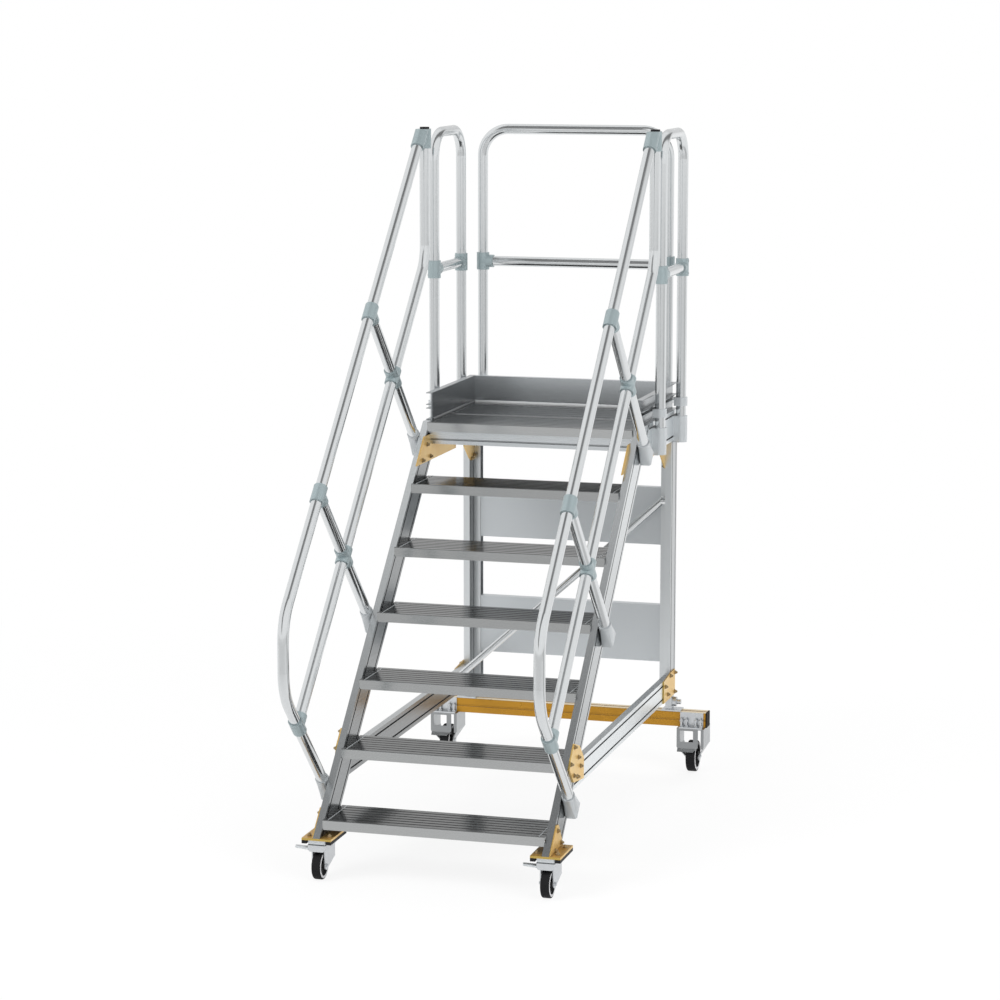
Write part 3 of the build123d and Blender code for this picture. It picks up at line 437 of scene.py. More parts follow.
class Shader(Graph):
    """A material under construction, with its nodes wired by name."""

    def __init__(self, name, metallic, roughness):
        self.material = bpy.data.materials.new(name)
        self.material.use_nodes = True
        super().__init__(self.material.node_tree)
        self.surface = self.tree.nodes["Principled BSDF"]
        self.surface.inputs["Metallic"].default_value = metallic
        self.surface.inputs["Roughness"].default_value = roughness
        self.place = self.node("ShaderNodeTexCoord").outputs["Object"]

    def grain(self, scale, detail, stretch=None, turn=0.0):
        """Noise over the piece, in cells a metre, stretched along a turned axis."""
        place = self.place
        if stretch is not None:
            mapping = self.node("ShaderNodeMapping")
            mapping.inputs["Rotation"].default_value = (turn, 0, 0)
            mapping.inputs["Scale"].default_value = stretch
            self.link(place, mapping.inputs["Vector"])
            place = mapping.outputs["Vector"]
        noise = self.node("ShaderNodeTexNoise", Scale=scale, Detail=detail)
        self.link(place, noise.inputs["Vector"])
        return noise.outputs["Fac"]

    def blend(self, factor, first, second):
        """Two colours mixed by a factor."""
        mix = self.node("ShaderNodeMix", data_type="RGBA")
        self.link(factor, mix.inputs["Factor"])
        for source, label in ((first, "A"), (second, "B")):
            socket = [s for s in mix.inputs if s.name == label and s.type == "RGBA"][0]
            if isinstance(source, bpy.types.NodeSocket):
                self.link(source, socket)
            else:
                socket.default_value = (*source, 1)
        return [s for s in mix.outputs if s.type == "RGBA"][0]

    def drift(self, factor, colour, low, high):
        """A colour that drifts between two shares of itself."""
        return self.blend(factor, shade(colour, low), shade(colour, high))

    def direction(self):
        """The three parts of a face's direction."""
        return self.split(self.node("ShaderNodeNewGeometry").outputs["Normal"])

    def facing_up(self):
        """Whether a face looks upwards, from 0 to 1."""
        return self.spread(self.direction()[2], 0, 1, *FACING_SPAN)

    def facing_ahead(self):
        """Whether a face looks ahead, from 0 to 1."""
        least, full = FACING_SPAN
        return self.spread(self.direction()[1], 1, 0, -full, -least)

    def facing_side(self, way):
        """Whether a face looks away from the stairs' middle plane, or at it with a way of -1."""
        outward = self.combine("MULTIPLY", self.direction()[0], self.split(self.place)[0])
        return self.spread(self.combine("MULTIPLY", outward, way), 0, 1, *SIDE_SPAN)

    def crease_shade(self, colour, reach, least):
        """The colour with painted shade in grooves and corners narrower than a reach."""
        sky = self.node(
            "ShaderNodeAmbientOcclusion", samples=CREASE_SHADE_SAMPLES, only_local=True
        )
        sky.inputs["Distance"].default_value = reach
        # Painted shade: the colour falls towards a near black where the grooves hide the sky
        unshaded_share = self.spread(sky.outputs["AO"], least, 1, *CREASE_SHADE_SPAN)
        return self.blend(unshaded_share, CREASE_SHADE_COLOUR, colour)

    def paint(self, colour):
        """The surface's colour from a socket."""
        self.link(colour, self.surface.inputs["Base Color"])

    def polish(self, source, low, high):
        """Roughness that follows a noise between two values."""
        self.link(self.spread(source, low, high, *NOISE_SPAN), self.surface.inputs["Roughness"])

    def bump(self, source, strength, depth):
        """Fine relief from a noise."""
        bump = self.node("ShaderNodeBump", Strength=strength, Distance=depth)
        self.link(source, bump.inputs["Height"])
        self.link(bump.outputs["Normal"], self.surface.inputs["Normal"])


def extruded(name, colour, roughness, stretch, turn=0.0, shade_climb=None, outside=1.0):
    """Satin extrusion with faint die lines, painted shade in its grooves, and painted light and
    shade over its height and sides.
    """
    made = Shader(name, metallic=0.94, roughness=roughness)
    plain = made.drift(made.grain(scale=1.6, detail=3), colour, low=0.96, high=1.04)
    # Painted light and shade over the height, by the shares at the foot and the head
    if shade_climb:
        foot, head, least, most = shade_climb
        height = made.spread(made.split(made.place)[2], 0, 1, foot, head)
        plain = made.drift(height, colour, least, most)
    # Painted shade on faces that look at the stairs' middle
    shaded = made.blend(made.facing_side(-1), plain, shade(colour, INNER_SHADE_SHARE))
    # Painted light (share over 1) and painted shade (share under 1) on faces that look away from the
    # middle
    if outside != 1:
        shaded = made.blend(made.facing_side(1), shaded, shade(colour, outside))
    # Painted shade in grooves and corners
    made.paint(made.crease_shade(shaded, reach=0.012, least=0.1))
    lines = made.grain(scale=5, detail=2, stretch=stretch, turn=turn)
    made.polish(lines, low=roughness - 0.02, high=roughness + 0.03)
    return made.material


def polished(name, colour, roughness):
    """Bright anodised metal."""
    made = Shader(name, metallic=0.97, roughness=roughness)
    cloud = made.grain(scale=2.5, detail=3)
    made.paint(made.drift(cloud, colour, low=0.97, high=1.03))
    made.polish(cloud, low=roughness - 0.02, high=roughness + 0.03)
    return made.material


def ribbed(name, colour, top_shade_share):
    """Ribbed plank with a painted dark reflection on its top and painted shade in its grooves."""
    made = Shader(name, metallic=0.94, roughness=0.15)
    cloud = made.grain(scale=2.2, detail=3)
    plain = made.drift(cloud, colour, low=0.98, high=1.04)
    # Painted dark reflection: upward faces in a darker share of the colour
    top = made.drift(cloud, colour, low=top_shade_share * 0.94, high=top_shade_share * 1.06)
    shaded = made.blend(made.facing_up(), plain, top)
    # Painted shade in the grooves
    made.paint(made.crease_shade(shaded, reach=0.005, least=0.45))
    made.polish(made.grain(scale=5, detail=2, stretch=PLANK), low=0.12, high=0.17)
    return made.material


def tumbled(name, colour):
    """Tumbled casting with a fine skin."""
    made = Shader(name, metallic=0.5, roughness=0.34)
    cloud = made.grain(scale=12, detail=4)
    made.paint(made.drift(cloud, colour, low=0.94, high=1.06))
    made.polish(cloud, low=0.3, high=0.4)
    made.bump(made.grain(scale=420, detail=3), strength=0.05, depth=0.0003)
    return made.material


def rolled(name, colour, metallic):
    """Flat rolled sheet or bar."""
    made = Shader(name, metallic=metallic, roughness=0.34)
    made.paint(made.drift(made.grain(scale=1.4, detail=3), colour, low=0.96, high=1.04))
    made.polish(made.grain(scale=5, detail=2, stretch=SHEET), low=0.31, high=0.37)
    return made.material


def passivated(name, colour, roughness, top, ahead):
    """Gold skin that drifts towards a greener tint, with painted light and shade on its top and
    front and painted shade in its corners.
    """
    made = Shader(name, metallic=0.55, roughness=roughness)
    cloud = made.grain(scale=9, detail=4)
    greener = [channel * share for channel, share in zip(colour, GREENER)]
    plain = made.blend(cloud, greener, shade(colour, 1.08))
    # Painted light and shade: faces ahead take the ahead colour, upward faces the top colour
    front_shaded = made.blend(made.facing_ahead(), plain, ahead)
    shaded = made.blend(made.facing_up(), front_shaded, top)
    # Painted shade in corners
    made.paint(made.crease_shade(shaded, reach=0.008, least=0.3))
    made.polish(cloud, low=roughness - 0.06, high=roughness + 0.08)
    made.bump(made.grain(scale=300, detail=2), strength=0.03, depth=0.0002)
    return made.material


def galvanised(name, colour, ahead):
    """Bright zinc with a soft spangle, with painted shade on its faces ahead by their own share of
    the colour.
    """
    made = Shader(name, metallic=0.9, roughness=0.33)
    cells = made.node("ShaderNodeTexVoronoi", Scale=90)
    made.link(made.place, cells.inputs["Vector"])
    plain = made.drift(cells.outputs["Distance"], colour, low=1.02, high=0.97)
    # Painted shade on faces ahead, by the ahead share
    made.paint(made.blend(made.facing_ahead(), plain, shade(colour, ahead)))
    made.polish(made.grain(scale=40, detail=3), low=0.3, high=0.36)
    return made.material


def moulded(name, colour, roughness, skin):
    """Plain moulded plastic or rubber with a fine skin, in cells a metre."""
    made = Shader(name, metallic=0.0, roughness=roughness)
    made.surface.inputs["Specular IOR Level"].default_value = 0.1
    cloud = made.grain(scale=25, detail=3)
    made.paint(made.drift(cloud, colour, low=0.8, high=1.3))
    made.polish(cloud, low=roughness - 0.06, high=roughness + 0.08)
    made.bump(made.grain(scale=skin, detail=3), strength=0.15, depth=0.0004)
    return made.material


finishes = {}


def make_finishes(tones):
    """Every finish of the stairs by its name, from the sidebar's colours."""
    finishes.update(
        tube=polished("polished_tube", tones.tube, roughness=0.15),
        edge=polished("dark_trim", tones.edge, roughness=0.3),
        stringer=extruded(
            "stringer_profile",
            tones.profile,
            roughness=0.22,
            stretch=LEVEL_BACK,
            turn=-SLOPE,
            shade_climb=STRINGER_SHADE_CLIMB,
        ),
        # Painted light on the outer faces of the side beams
        side=extruded(
            "side_profile", tones.profile, roughness=0.3, stretch=LEVEL_BACK, outside=1.5
        ),
        # Painted shade on the posts' outer faces
        post=extruded("post_profile", tones.post, roughness=0.3, stretch=UPRIGHT, outside=0.72),
        front_beam=extruded(
            "front_beam_profile", tones.front_beam, roughness=0.28, stretch=LEVEL_ACROSS
        ),
        kick_side=extruded(
            "kick_profile_side", tones.kick_side, roughness=0.24, stretch=LEVEL_BACK
        ),
        kick_rear=extruded(
            "kick_profile_rear",
            tones.kick_rear,
            roughness=0.24,
            stretch=LEVEL_ACROSS,
            shade_climb=REAR_KICK_SHADE_CLIMB,
        ),
        tread=ribbed("ribbed_tread", tones.tread, top_shade_share=0.27),
        deck=ribbed("ribbed_deck", tones.deck, top_shade_share=0.2),
        casting=tumbled("cast_junction", tones.casting),
        bracket=tumbled("bright_casting", tones.bracket),
        socket=tumbled("socket_casting", tones.socket),
        trim=rolled("bright_trim", tones.trim, metallic=0.4),
        panel=rolled("sheet_panel", tones.panel, metallic=0.85),
        # Painted shade: darker copies of the gold on its upper faces and faces ahead
        gold=passivated("gold_plate", tones.gold, 0.34, tones.gold_top_shade, tones.gold_front_shade),
        # Painted highlight: a paler copy of the beam on its upper faces
        beam=passivated("anodised_beam", tones.beam, 0.3, tones.beam_top_highlight, tones.beam),
        bolt=passivated("passivated_bolt", tones.bolt, 0.3, tones.bolt, tones.bolt),
        zinc=galvanised("galvanised", tones.zinc, ahead=1),
        # Painted shade on the housings' faces ahead
        housing=galvanised("housing_zinc", tones.housing, ahead=0.7),
        ring=moulded("wheel_ring", tones.ring, roughness=0.4, skin=300),
        plastic=moulded("black_plastic", tones.plastic, roughness=0.45, skin=350),
        cap=moulded("cap_plastic", tones.cap, roughness=0.6, skin=350),
        rubber=moulded("tyre_rubber", tones.rubber, roughness=0.6, skin=500),
        rim=moulded("rim_plastic", tones.rim, roughness=0.35, skin=300),
    )


def nodes_with(part):
    """The frame's nodes whose name holds a part."""
    return [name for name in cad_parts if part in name]


NODE_FINISHES = {
    "stringer": ["stringers"],
    "side": ["platform_side_beams", "base_beams"],
    "front_beam": ["platform_cross_beams"],
    "post": ["rear_posts"],
    "tread": nodes_with("tread_"),
    "deck": ["platform_nosing", "platform_deck"],
    "kick_side": ["kick_plate_left", "kick_plate_right"],
    "kick_rear": ["kick_plate_rear"],
    "tube": [
        "guard_loop_left",
        "guard_loop_right",
        "guard_mid_rails",
        "handrail_left",
        "handrail_right",
        "knee_rail_left",
        "knee_rail_right",
        "rail_struts",
        "rear_guard_hoop",
        "diagonal_tie",
    ],
    "casting": ["guard_junctions", "rail_junctions_left", "rail_junctions_right"],
    "bracket": ["rail_brackets"],
    "socket": ["guard_leg_clamps", "guard_sockets"],
    "panel": ["rear_panel_lower", "rear_panel_upper"],
    "gold": ["castor_mount_plates", "gussets_base", "gussets_platform", "gussets_post_tops"],
    "beam": ["rear_cross_beam"],
    "zinc": [
        "foot_brackets",
        "front_castor_plates",
        "front_fork_left",
        "front_fork_right",
        "rear_castor_brackets",
    ],
    "housing": ["rear_castor_housings"],
    "plastic": ["castor_pads", "rail_end_plugs"],
    "cap": ["cross_beam_caps"],
    "rubber": nodes_with("_tyre_"),
    "rim": nodes_with("_rim_"),
}


# Mesh pieces


def placed(name, data):
    """A new object in the scene."""
    made = bpy.data.objects.new(name, data)
    bpy.context.scene.collection.objects.link(made)
    return made


class Mould:
    """A mesh under construction in one bmesh, in the frame's metres."""

    def __init__(self):
        self.mesh = bmesh.new()

    def turned(self, place, axis, outline, sides):
        """Rings of corners round an axis, one for each (distance along it, radius)."""
        axis = axis.normalized()
        start = axis.orthogonal().normalized()
        other = axis.cross(start)
        rings = []
        for along, radius in outline:
            ring = []
            for index in range(sides):
                angle = tau * index / sides
                offset = start * cos(angle) + other * sin(angle)
                ring.append(self.mesh.verts.new(place + axis * along + offset * radius))
            rings.append(ring)
        return rings

    def skin(self, rings):
        """Faces between each ring of corners and the next."""
        for low, high in zip(rings, rings[1:]):
            for index in range(len(low)):
                follow = (index + 1) % len(low)
                self.mesh.faces.new((low[index], low[follow], high[follow], high[index]))

    def ends(self, first, last):
        """The two end faces of a closed form."""
        self.mesh.faces.new(reversed(first))
        self.mesh.faces.new(last)

    def lathe(self, place, axis, outline, sides):
        """A closed turned form."""
        rings = self.turned(place, axis, outline, sides)
        self.skin(rings)
        self.ends(rings[0], rings[-1])

    def ring(self, place, axis, outline, sides):
        """A turned ring: its outline closes on itself."""
        rings = self.turned(place, axis, outline, sides)
        self.skin(rings + rings[:1])

    def bar(self, section, start, end, lengthwise=False):
        """A straight bar across the width, or lengthwise, from its section's corners."""
        rings = []
        for place in (start, end):
            if lengthwise:
                corners = [(x, place, z) for x, z in section]
            else:
                corners = [(place, y, z) for y, z in section]
            rings.append([self.mesh.verts.new(corner) for corner in corners])
        self.skin(rings)
        self.ends(rings[0], rings[1])

    def finish(self, name, body, finish, slot):
        """The piece as an object that rides on its body."""
        bmesh.ops.recalc_face_normals(self.mesh, faces=self.mesh.faces)
        data = bpy.data.meshes.new(name)
        self.mesh.to_mesh(data)
        self.mesh.free()
        piece = placed(name, data)
        data.materials.append(finishes[finish])
        for polygon in data.polygons:
            polygon.use_smooth = True
        data.set_sharp_from_angle(angle=SHARP_ANGLE)
        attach(piece, body)


def hex_bolt(mould, place, axis, fittings, scale=1.0):
    """A washer and a chamfered hexagon head on a face."""
    washer_r = fittings.washer / 2 * scale
    foot = fittings.washer_height * scale
    mould.lathe(place, axis, [(0, washer_r), (foot, washer_r)], fittings.round_sides)
    head_r = fittings.bolt_flats / 2 * scale / cos(pi / 6)
    head_h = fittings.bolt_height * scale
    top = foot + head_h
    outline = [(foot, head_r), (top - head_h * HEAD_CHAMFER, head_r), (top, head_r * HEAD_TOP)]
    mould.lathe(place, axis, outline, 6)


def hex_nut(mould, place, axis, fittings, scale=1.0):
    """A nut on its washer with the bolt's end through it."""
    hex_bolt(mould, place, axis, fittings, scale)
    top = (fittings.washer_height + fittings.bolt_height) * scale
    thread_r = fittings.bolt_flats * THREAD_RADIUS * scale
    reach = fittings.bolt_height * THREAD_REACH * scale
    chamfer = reach * THREAD_CHAMFER
    end = top + reach
    outline = [(top - chamfer, thread_r), (end - chamfer, thread_r), (end, thread_r * THREAD_TOP)]
    mould.lathe(place, axis, outline, fittings.round_sides)


def socket_screw(mould, place, axis, fittings):
    """A grub screw's mouth: a low ring round a sunk hexagon."""
    radius = fittings.screw / 2
    lift = radius * SCREW_LIFT
    outline = [
        (-radius, radius),
        (lift, radius),
        (lift, radius * SCREW_MOUTH),
        (0, radius * SCREW_FLOOR),
    ]
    mould.lathe(place, axis, outline, fittings.round_sides)


class STAIRS_OT_finish_nodes(Operator):
    """Give every solid of the frame its finish"""

    bl_idname = "stairs.finish_nodes"
    bl_label = "Finish the frame"

    def execute(self, context):
        make_finishes(context.scene.stairs_finish)
        done = set()
        for finish, names in NODE_FINISHES.items():
            for name in names:
                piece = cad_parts[name]
                piece.data.materials.clear()
                piece.data.materials.append(finishes[finish])
                done.add(name)
        missing = set(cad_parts) - done
        if missing:
            raise RuntimeError(f"no finish for {sorted(missing)}")
        return {"FINISHED"}


class STAIRS_OT_gusset_bolts(Operator):
    """Bolt the gold gussets and uprights to the frame"""

    bl_idname = "stairs.gusset_bolts"
    bl_label = "Gusset bolts"

    def execute(self, context):
        fittings = context.scene.stairs_fittings
        thick = node_box("gussets_base")[1].x - OUTER_X
        inside = INNER_X - thick
        outside = OUTER_X + thick
        joint_y = base_low.y + base_high.z - base_low.z
        # Each plate: (its face's x, way that it looks, y and z of its corner, bolts)
        plates = {
            "platform": (inside, -1, nosing_low.y, SIDE_BEAM_Z, PLATFORM_BOLTS),
            "post_top": (inside, -1, post_low.y, SIDE_BEAM_Z, POST_TOP_BOLTS),
            "base_front": (outside, 1, joint_y, base_high.z, BASE_FRONT_BOLTS),
            "base_rear": (outside, 1, post_high.y, base_low.z, BASE_REAR_BOLTS),
            "upright": (outside, 1, pad_low.y, pad_high.z, UPRIGHT_BOLTS),
        }
        for name, (face, way, corner_y, corner_z, bolts) in plates.items():
            mould = Mould()
            for side in SIDES:
                for y, z in bolts:
                    spot = Vector((side * face, corner_y + y, corner_z + z))
                    hex_nut(mould, spot, RIGHT * side * way, fittings)
            mould.finish(f"{name}_bolts", "frame", "bolt", "zinc")
        return {"FINISHED"}


class STAIRS_OT_junction_screws(Operator):
    """Set the grub screws in the cast junctions"""

    bl_idname = "stairs.junction_screws"
    bl_label = "Junction screws"

    def execute(self, context):
        fittings = context.scene.stairs_fittings
        wall = node_box("rail_junctions_right")[1].x - RAIL_X
        knee_low, knee_high = node_box("guard_mid_rails")
        knee_z = (knee_low.z + knee_high.z) / 2
        mould = Mould()
        for side, name in zip(SIDES, ("guard_loop_left", "guard_loop_right")):
            low, high = node_box(name)
            for y in (low.y + TUBE_R, high.y - TUBE_R):
                for lift in (-SCREW_SPREAD, SCREW_SPREAD):
                    spot = Vector((side * (RAIL_X + wall), y, knee_z + lift))
                    socket_screw(mould, spot, RIGHT * side, fittings)
        mould.finish("junction_screws", "frame", "zinc", "zinc")
        return {"FINISHED"}


class STAIRS_OT_platform_trim(Operator):
    """Cover the joint of the platform's planks and edge the deck along the kick plates"""

    bl_idname = "stairs.platform_trim"
    bl_label = "Platform trim"

    def execute(self, context):
        trim = context.scene.stairs_trim
        self.joint_cover(trim)
        self.side_beads(trim, context.scene.stairs_fittings.round_sides)
        self.rear_bead(trim)
        return {"FINISHED"}

    def joint_cover(self, trim):
        """A flat bar over the joint, its long edges slanted."""
        mould = Mould()
        front = nosing_high.y - trim.cover_lap
        back = deck_low.y + trim.cover_lap
        foot = DECK_Z - trim.cover_height
        crest = DECK_Z + trim.cover_height
        slant = trim.cover_height * COVER_SLANT
        section = (
            (front, foot),
            (back, foot),
            (back, DECK_Z),
            (back - slant, crest),
            (front + slant, crest),
            (front, DECK_Z),
        )
        mould.bar(section, -INNER_X, INNER_X)
        mould.finish("platform_joint_cover", "frame", "edge", "zinc")

    def side_beads(self, trim, sides):
        """A round bead at the foot of each side kick plate."""
        mould = Mould()
        start = node_box("kick_plate_right")[0].y + trim.edge_round
        length = deck_high.y - trim.edge_round - start
        outline = [(0, trim.edge_round), (length, trim.edge_round)]
        for side in SIDES:
            foot = Vector((side * INNER_X, start, DECK_Z + trim.edge_lift))
            mould.lathe(foot, BACK, outline, sides)
        mould.finish("platform_side_beads", "frame", "edge", "zinc")

    def rear_bead(self, trim):
        """A chamfered bead at the foot of the rear kick plate."""
        mould = Mould()
        front = deck_high.y - trim.bead_depth
        crest = DECK_Z + trim.bead_height
        chamfer = trim.bead_depth / 3
        section = (
            (front, DECK_Z),
            (deck_high.y, DECK_Z),
            (deck_high.y, crest),
            (front + chamfer, crest),
            (front, crest - chamfer),
        )
        mould.bar(section, -INNER_X, INNER_X)
        mould.finish("platform_rear_bead", "frame", "trim", "zinc")


class STAIRS_OT_tread_seams(Operator):
    """Run a fine bead beside both ends of each tread"""

    bl_idname = "stairs.tread_seams"
    bl_label = "Tread seams"

    def execute(self, context):
        trim = context.scene.stairs_trim
        half = trim.seam_width / 2
        mould = Mould()
        for name in sorted(nodes_with("tread_")):
            low, high = node_box(name)
            foot = high.z - half
            crest = high.z + trim.seam_height
            for side in SIDES:
                middle = side * (high.x - trim.seam_inset)
                section = (
                    (middle - half, foot),
                    (middle + half, foot),
                    (middle + half, high.z),
                    (middle + half / 2, crest),
                    (middle - half / 2, crest),
                    (middle - half, high.z),
                )
                start = low.y + trim.seam_width
                end = high.y - trim.seam_width
                mould.bar(section, start, end, lengthwise=True)
        mould.finish("tread_end_beads", "frame", "bracket", "zinc")
        return {"FINISHED"}


class STAIRS_OT_castor_fittings(Operator):
    """Fit bolts, lips, lever beads and wheel discs to the castors"""

    bl_idname = "stairs.castor_fittings"
    bl_label = "Castor fittings"

    def execute(self, context):
        fittings = context.scene.stairs_fittings
        self.plate_bolts(fittings)
        self.plate_lips(fittings)
        self.housing_bolts(fittings)
        for side, word in zip(SIDES, ("left", "right")):
            self.wheel_fittings(fittings, "front", word, f"front_swivel_{word}")
            self.wheel_fittings(fittings, "rear", word, "frame")
            self.lever_bead(fittings, side, word)
        return {"FINISHED"}

    def plate_bolts(self, fittings):
        """Four bolts through each gold plate and its pads."""
        mould = Mould()
        plate_top = pad_high.z + MOUNT_THICK
        for side in SIDES:
            for x, y in PLATE_BOLTS:
                spot = Vector((side * (MIDDLE_X + x), CASTOR_Y + y, plate_top))
                hex_nut(mould, spot, UP, fittings)
        mould.finish("mount_plate_bolts", "frame", "bolt", "zinc")

    def plate_lips(self, fittings):
        """The turned-down front edge of each front castor's plate."""
        mould = Mould()
        plate_low, plate_high = node_box("front_castor_plates")
        fork_top = node_box("front_fork_right")[1].z
        front = max(plate_low.y, pad_low.y) + fittings.lip_round
        back = front + fittings.lip_thick
        crest = plate_high.z - fittings.lip_thick
        foot = fork_top + fittings.lip_round / 2
        section = (
            (front, crest),
            (back, crest),
            (back, foot),
            (front + fittings.lip_round, foot),
            (front, foot + fittings.lip_round),
        )
        for side in SIDES:
            middle = side * MIDDLE_X
            mould.bar(section, middle - fittings.lip_half, middle + fittings.lip_half)
        mould.finish("castor_plate_lips", "frame", "socket", "zinc")

    def housing_bolts(self, fittings):
        """The upright bolts in front of each rear castor's bracket."""
        mould = Mould()
        bracket_low, bracket_high = node_box("rear_castor_brackets")
        middle_x = bracket_high.x - BRACKET_LENGTH / 2
        spot_y = (bracket_low.y + beam_low.y) / 2
        shaft = fittings.bolt_flats * SHAFT_RADIUS
        outline = [(0, shaft), (HOUSING_BOLT_REACH, shaft)]
        for side in SIDES:
            for x in HOUSING_BOLTS:
                foot = Vector((side * middle_x + x, spot_y, beam_low.z + BRACKET_THICK))
                mould.lathe(foot, UP, outline, fittings.round_sides)
                head = foot + UP * HOUSING_BOLT_REACH
                for spot, scale in zip((foot, head), HOUSING_NUT_SCALES):
                    hex_nut(mould, spot, UP, fittings, scale)
        mould.finish("housing_bolts", "frame", "zinc", "zinc")

    def lever_bead(self, fittings, side, word):
        """The rolled front edge of one brake lever."""
        mould = Mould()
        height = node_box(f"front_fork_{word}")[1].z - LEVER_DROP
        middle = Vector((side * MIDDLE_X, CASTOR_Y, height))
        root, tip = [middle + Vector((x, y, 0)) for x, y in LEVER_EDGE]
        length = (tip - root).length
        radius = fittings.lever_bead
        tip_place = (length + radius * LEVER_TIP_REACH, radius * LEVER_TIP_RADIUS)
        outline = [(0, radius), (length, radius), tip_place]
        mould.lathe(root, tip - root, outline, fittings.round_sides)
        mould.finish(f"brake_lever_bead_{word}", f"front_swivel_{word}", "socket", "zinc")

    def wheel_fittings(self, fittings, end, word, carrier):
        """The nuts of one wheel's axle, and the dark discs and light rings of its sides."""
        low, high = node_box(f"{end}_rim_{word}")
        tyre_low, tyre_high = node_box(f"{end}_tyre_{word}")
        middle = (low + high) / 2
        radius = (tyre_high.z - tyre_low.z) / 2
        half = (tyre_high.x - tyre_low.x) / 2
        cheek = (high.x - low.x) / 2 + HUB_CLEAR + CHEEK_SHEET
        floor = half * (1 - 2 * RECESS_DEPTH)
        outer = radius * RECESS_RADIUS - DISC_CLEAR
        inner = radius * HUB_RADIUS + DISC_CLEAR
        crest = (half - floor) * DISC_CREST
        disc = [
            (0, inner),
            (crest, inner),
            (crest * DISC_DISH, (inner + outer) / 2),
            (crest, outer),
            (0, outer),
        ]
        lifts = (0, fittings.ring_lift, fittings.ring_lift, 0)
        band = [(lift, radius * share) for lift, share in zip(lifts, RING_RADII)]
        sides = 2 * fittings.round_sides
        nuts = Mould()
        discs = Mould()
        rings = Mould()
        for way in SIDES:
            axis = RIGHT * way
            hex_bolt(nuts, middle + axis * cheek, axis, fittings, AXLE_NUT_SCALE)
            discs.ring(middle + axis * floor, axis, disc, sides)
            rings.ring(middle + axis * half, axis, band, sides)
        nuts.finish(f"{end}_axle_nuts_{word}", carrier, "zinc", "zinc")
        discs.finish(f"{end}_wheel_discs_{word}", f"{end}_wheel_{word}", "plastic", "black_plastic")
        rings.finish(f"{end}_wheel_rings_{word}", f"{end}_wheel_{word}", "ring", "rim")


# Studio: (name, place, size, power) of each lamp, which all aim at the stairs' middle
LAMPS = (
    ("key", (-4.5, -5.0, 6.0), 4.0, 420),
    ("fill", (5.5, -3.5, 4.0), 4.5, 260),
    ("back", (1.0, 6.0, 5.0), 4.0, 220),
)
LAMP_AIM = Vector((0, 0, 1.2))
# Camera's sensor in mm
SENSOR_WIDTH = 36

# Floor: its tone, its glow under the stairs, and the dimmer wedges of it that metal mirrors
FLOOR_TONE = (0.82, 0.82, 0.82, 1)
GLOW_LEAST = 0.86
GLOW_REACH = (1.2, 4.5)
AHEAD_LEAST = 0.72
AHEAD_SPAN = (-5, 1)
ASIDE_LEAST = 0.6
ASIDE_RISE = (-0.45, -0.2)
ASIDE_FALL = (0.15, 0.4)

# Sky: its light, and what metal mirrors of it, less a dark band overhead and a zone behind
WHITE = (1, 1, 1, 1)
SKY_LIGHT = 0.63
SKY_MIRRORED = 0.96
SKY_DARK = 0.76
BAND_LEAN = 0.2
BAND_RISE = (-0.41, -0.2)
BAND_FALL = (0.2, 0.38)
BAND_HEIGHT = (0.1, 0.3)
BACK_SHARE = 0.25
BACK_SPAN = (0.55, 0.8)
BACK_HEIGHT = (0, 0.08)


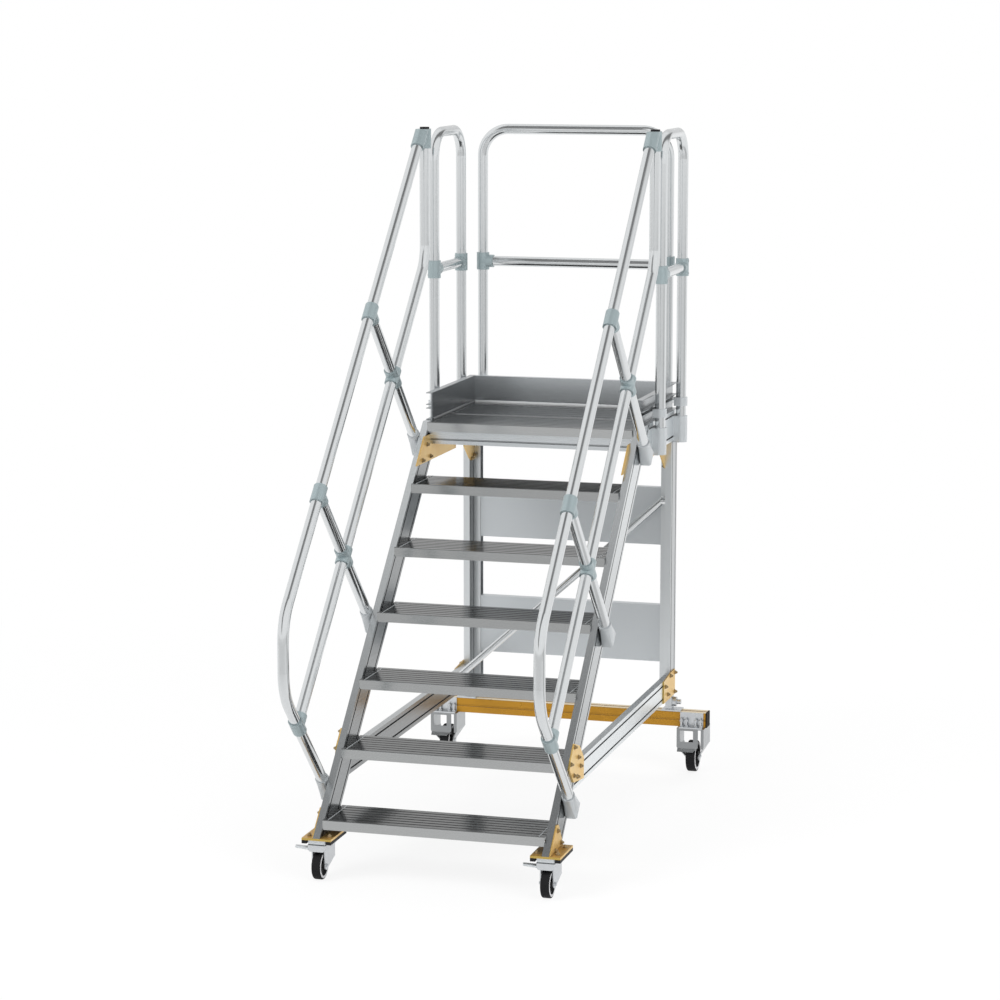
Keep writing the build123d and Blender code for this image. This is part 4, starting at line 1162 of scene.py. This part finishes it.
class STAIRS_OT_studio(Operator):
    """Set up the floor, the lamps and the camera"""

    bl_idname = "stairs.studio"
    bl_label = "Studio"

    def execute(self, context):
        stage = context.scene.stairs_stage
        self.floor(stage)
        self.lamps()
        self.world(context.scene)
        self.camera(context.scene, stage)
        context.scene.view_settings.view_transform = "Standard"
        return {"FINISHED"}

    def floor(self, stage):
        """A pale floor, white in the distance, that keeps the stairs' shadow."""
        mesh = bmesh.new()
        bmesh.ops.create_grid(mesh, x_segments=1, y_segments=1, size=stage.floor / 2)
        data = bpy.data.meshes.new("studio_floor")
        mesh.to_mesh(data)
        mesh.free()
        floor = placed("studio_floor", data)
        material = bpy.data.materials.new("studio_floor")
        material.use_nodes = True
        material.node_tree.nodes.clear()
        data.materials.append(material)
        graph = Graph(material.node_tree)
        rays = graph.node("ShaderNodeLightPath").outputs
        place = graph.node("ShaderNodeTexCoord").outputs["Object"]
        distance = graph.node("ShaderNodeVectorMath", operation="LENGTH")
        graph.link(place, distance.inputs[0])
        x, y, _ = graph.split(place)
        bearing = graph.combine("ARCTAN2", y, x)
        aside = graph.window(bearing, ASIDE_RISE, ASIDE_FALL)
        ahead = graph.spread(y, AHEAD_LEAST, 1.0, *AHEAD_SPAN)
        mirrored = graph.combine("MULTIPLY", ahead, graph.spread(aside, 1, ASIDE_LEAST, 0, 1))
        bright = graph.combine("MAXIMUM", mirrored, rays["Is Camera Ray"])
        seen = graph.combine("MAXIMUM", rays["Is Camera Ray"], rays["Is Glossy Ray"])
        glowing = graph.spread(distance.outputs["Value"], GLOW_LEAST, 1, *GLOW_REACH)
        diffuse = graph.node("ShaderNodeBsdfDiffuse", Color=FLOOR_TONE)
        glow = graph.node("ShaderNodeEmission", Color=WHITE)
        mix = graph.node("ShaderNodeMixShader")
        out = graph.node("ShaderNodeOutputMaterial")
        graph.link(bright, glow.inputs["Strength"])
        graph.link(graph.combine("MULTIPLY", seen, glowing), mix.inputs["Fac"])
        graph.link(diffuse.outputs[0], mix.inputs[1])
        graph.link(glow.outputs[0], mix.inputs[2])
        graph.link(mix.outputs[0], out.inputs["Surface"])

    def lamps(self):
        """Soft area lamps that metal doesn't mirror."""
        for name, place, size, power in LAMPS:
            light = bpy.data.lights.new(f"studio_{name}", "AREA")
            light.size = size
            light.energy = power
            lamp = placed(f"studio_{name}", light)
            lamp.location = place
            aim = LAMP_AIM - Vector(place)
            lamp.rotation_euler = aim.to_track_quat("-Z", "Y").to_euler()
            lamp.visible_glossy = False

    def world(self, scene):
        """White behind the frame, grey around it, and a sky with a dark band in its polish."""
        world = bpy.data.worlds.new("studio_world")
        world.use_nodes = True
        scene.world = world
        world.node_tree.nodes.clear()
        graph = Graph(world.node_tree)
        rays = graph.node("ShaderNodeLightPath").outputs
        x, y, z = graph.split(graph.node("ShaderNodeTexCoord").outputs["Generated"])
        middle = graph.combine("ADD", y, BAND_LEAN)
        lean = graph.combine("SUBTRACT", graph.combine("ARCTAN2", x, z), middle)
        across = graph.window(lean, BAND_RISE, BAND_FALL)
        band = graph.combine("MULTIPLY", across, graph.spread(z, 0, 1, *BAND_HEIGHT))
        behind = graph.spread(y, 0, BACK_SHARE, *BACK_SPAN)
        back = graph.combine("MULTIPLY", behind, graph.spread(z, 0, 1, *BACK_HEIGHT))
        dark = graph.combine("MAXIMUM", band, back)
        dimmed = graph.combine("MULTIPLY", dark, SKY_DARK)
        sky = graph.combine("SUBTRACT", SKY_MIRRORED, dimmed)
        around = graph.spread(rays["Is Camera Ray"], SKY_LIGHT, 1, 0, 1)
        apart = graph.combine("SUBTRACT", sky, SKY_LIGHT)
        mirrored = graph.combine("MULTIPLY", apart, rays["Is Glossy Ray"])
        light = graph.node("ShaderNodeBackground", Color=WHITE)
        out = graph.node("ShaderNodeOutputWorld")
        graph.link(graph.combine("ADD", around, mirrored), light.inputs["Strength"])
        graph.link(light.outputs[0], out.inputs["Surface"])

    def camera(self, scene, stage):
        """The camera at the photograph's viewing angle."""
        data = bpy.data.cameras.new("studio_camera")
        data.lens = stage.lens
        data.sensor_width = SENSOR_WIDTH
        camera = placed("studio_camera", data)
        camera.location = (stage.camera_x, NOSING_Y - stage.camera_ahead, stage.camera_z)
        camera.rotation_euler = (pi / 2 - stage.pitch, 0, stage.yaw)
        scene.camera = camera


GROUPS = (
    ("stairs_finish", StairsFinish),
    ("stairs_fittings", StairsFittings),
    ("stairs_trim", StairsTrim),
    ("stairs_stage", StairsStage),
)
STEPS = (
    STAIRS_OT_finish_nodes,
    STAIRS_OT_gusset_bolts,
    STAIRS_OT_junction_screws,
    STAIRS_OT_platform_trim,
    STAIRS_OT_tread_seams,
    STAIRS_OT_castor_fittings,
    STAIRS_OT_studio,
)


class STAIRS_PT_dressing(Panel):
    """The dressing's sizes, colours and steps"""

    bl_label = "Platform stairs"
    bl_space_type = "VIEW_3D"
    bl_region_type = "UI"
    bl_category = "Stairs"

    def draw(self, context):
        layout = self.layout
        for name, kind in GROUPS:
            group = getattr(context.scene, name)
            box = layout.box()
            for key in kind.bl_rna.properties.keys():
                if key not in ("rna_type", "name"):
                    box.prop(group, key)
        for step in STEPS:
            layout.operator(step.bl_idname)


def register():
    for name, group in GROUPS:
        bpy.utils.register_class(group)
        setattr(bpy.types.Scene, name, PointerProperty(type=group))
    for step in STEPS:
        bpy.utils.register_class(step)
    bpy.utils.register_class(STAIRS_PT_dressing)


def unregister():
    bpy.utils.unregister_class(STAIRS_PT_dressing)
    for step in reversed(STEPS):
        bpy.utils.unregister_class(step)
    for name, group in reversed(GROUPS):
        delattr(bpy.types.Scene, name)
        bpy.utils.unregister_class(group)


def main():
    """Dress the frame."""
    register()
    for step in STEPS:
        group, name = step.bl_idname.split(".")
        getattr(getattr(bpy.ops, group), name)()


if __name__ == "__main__":
    main()
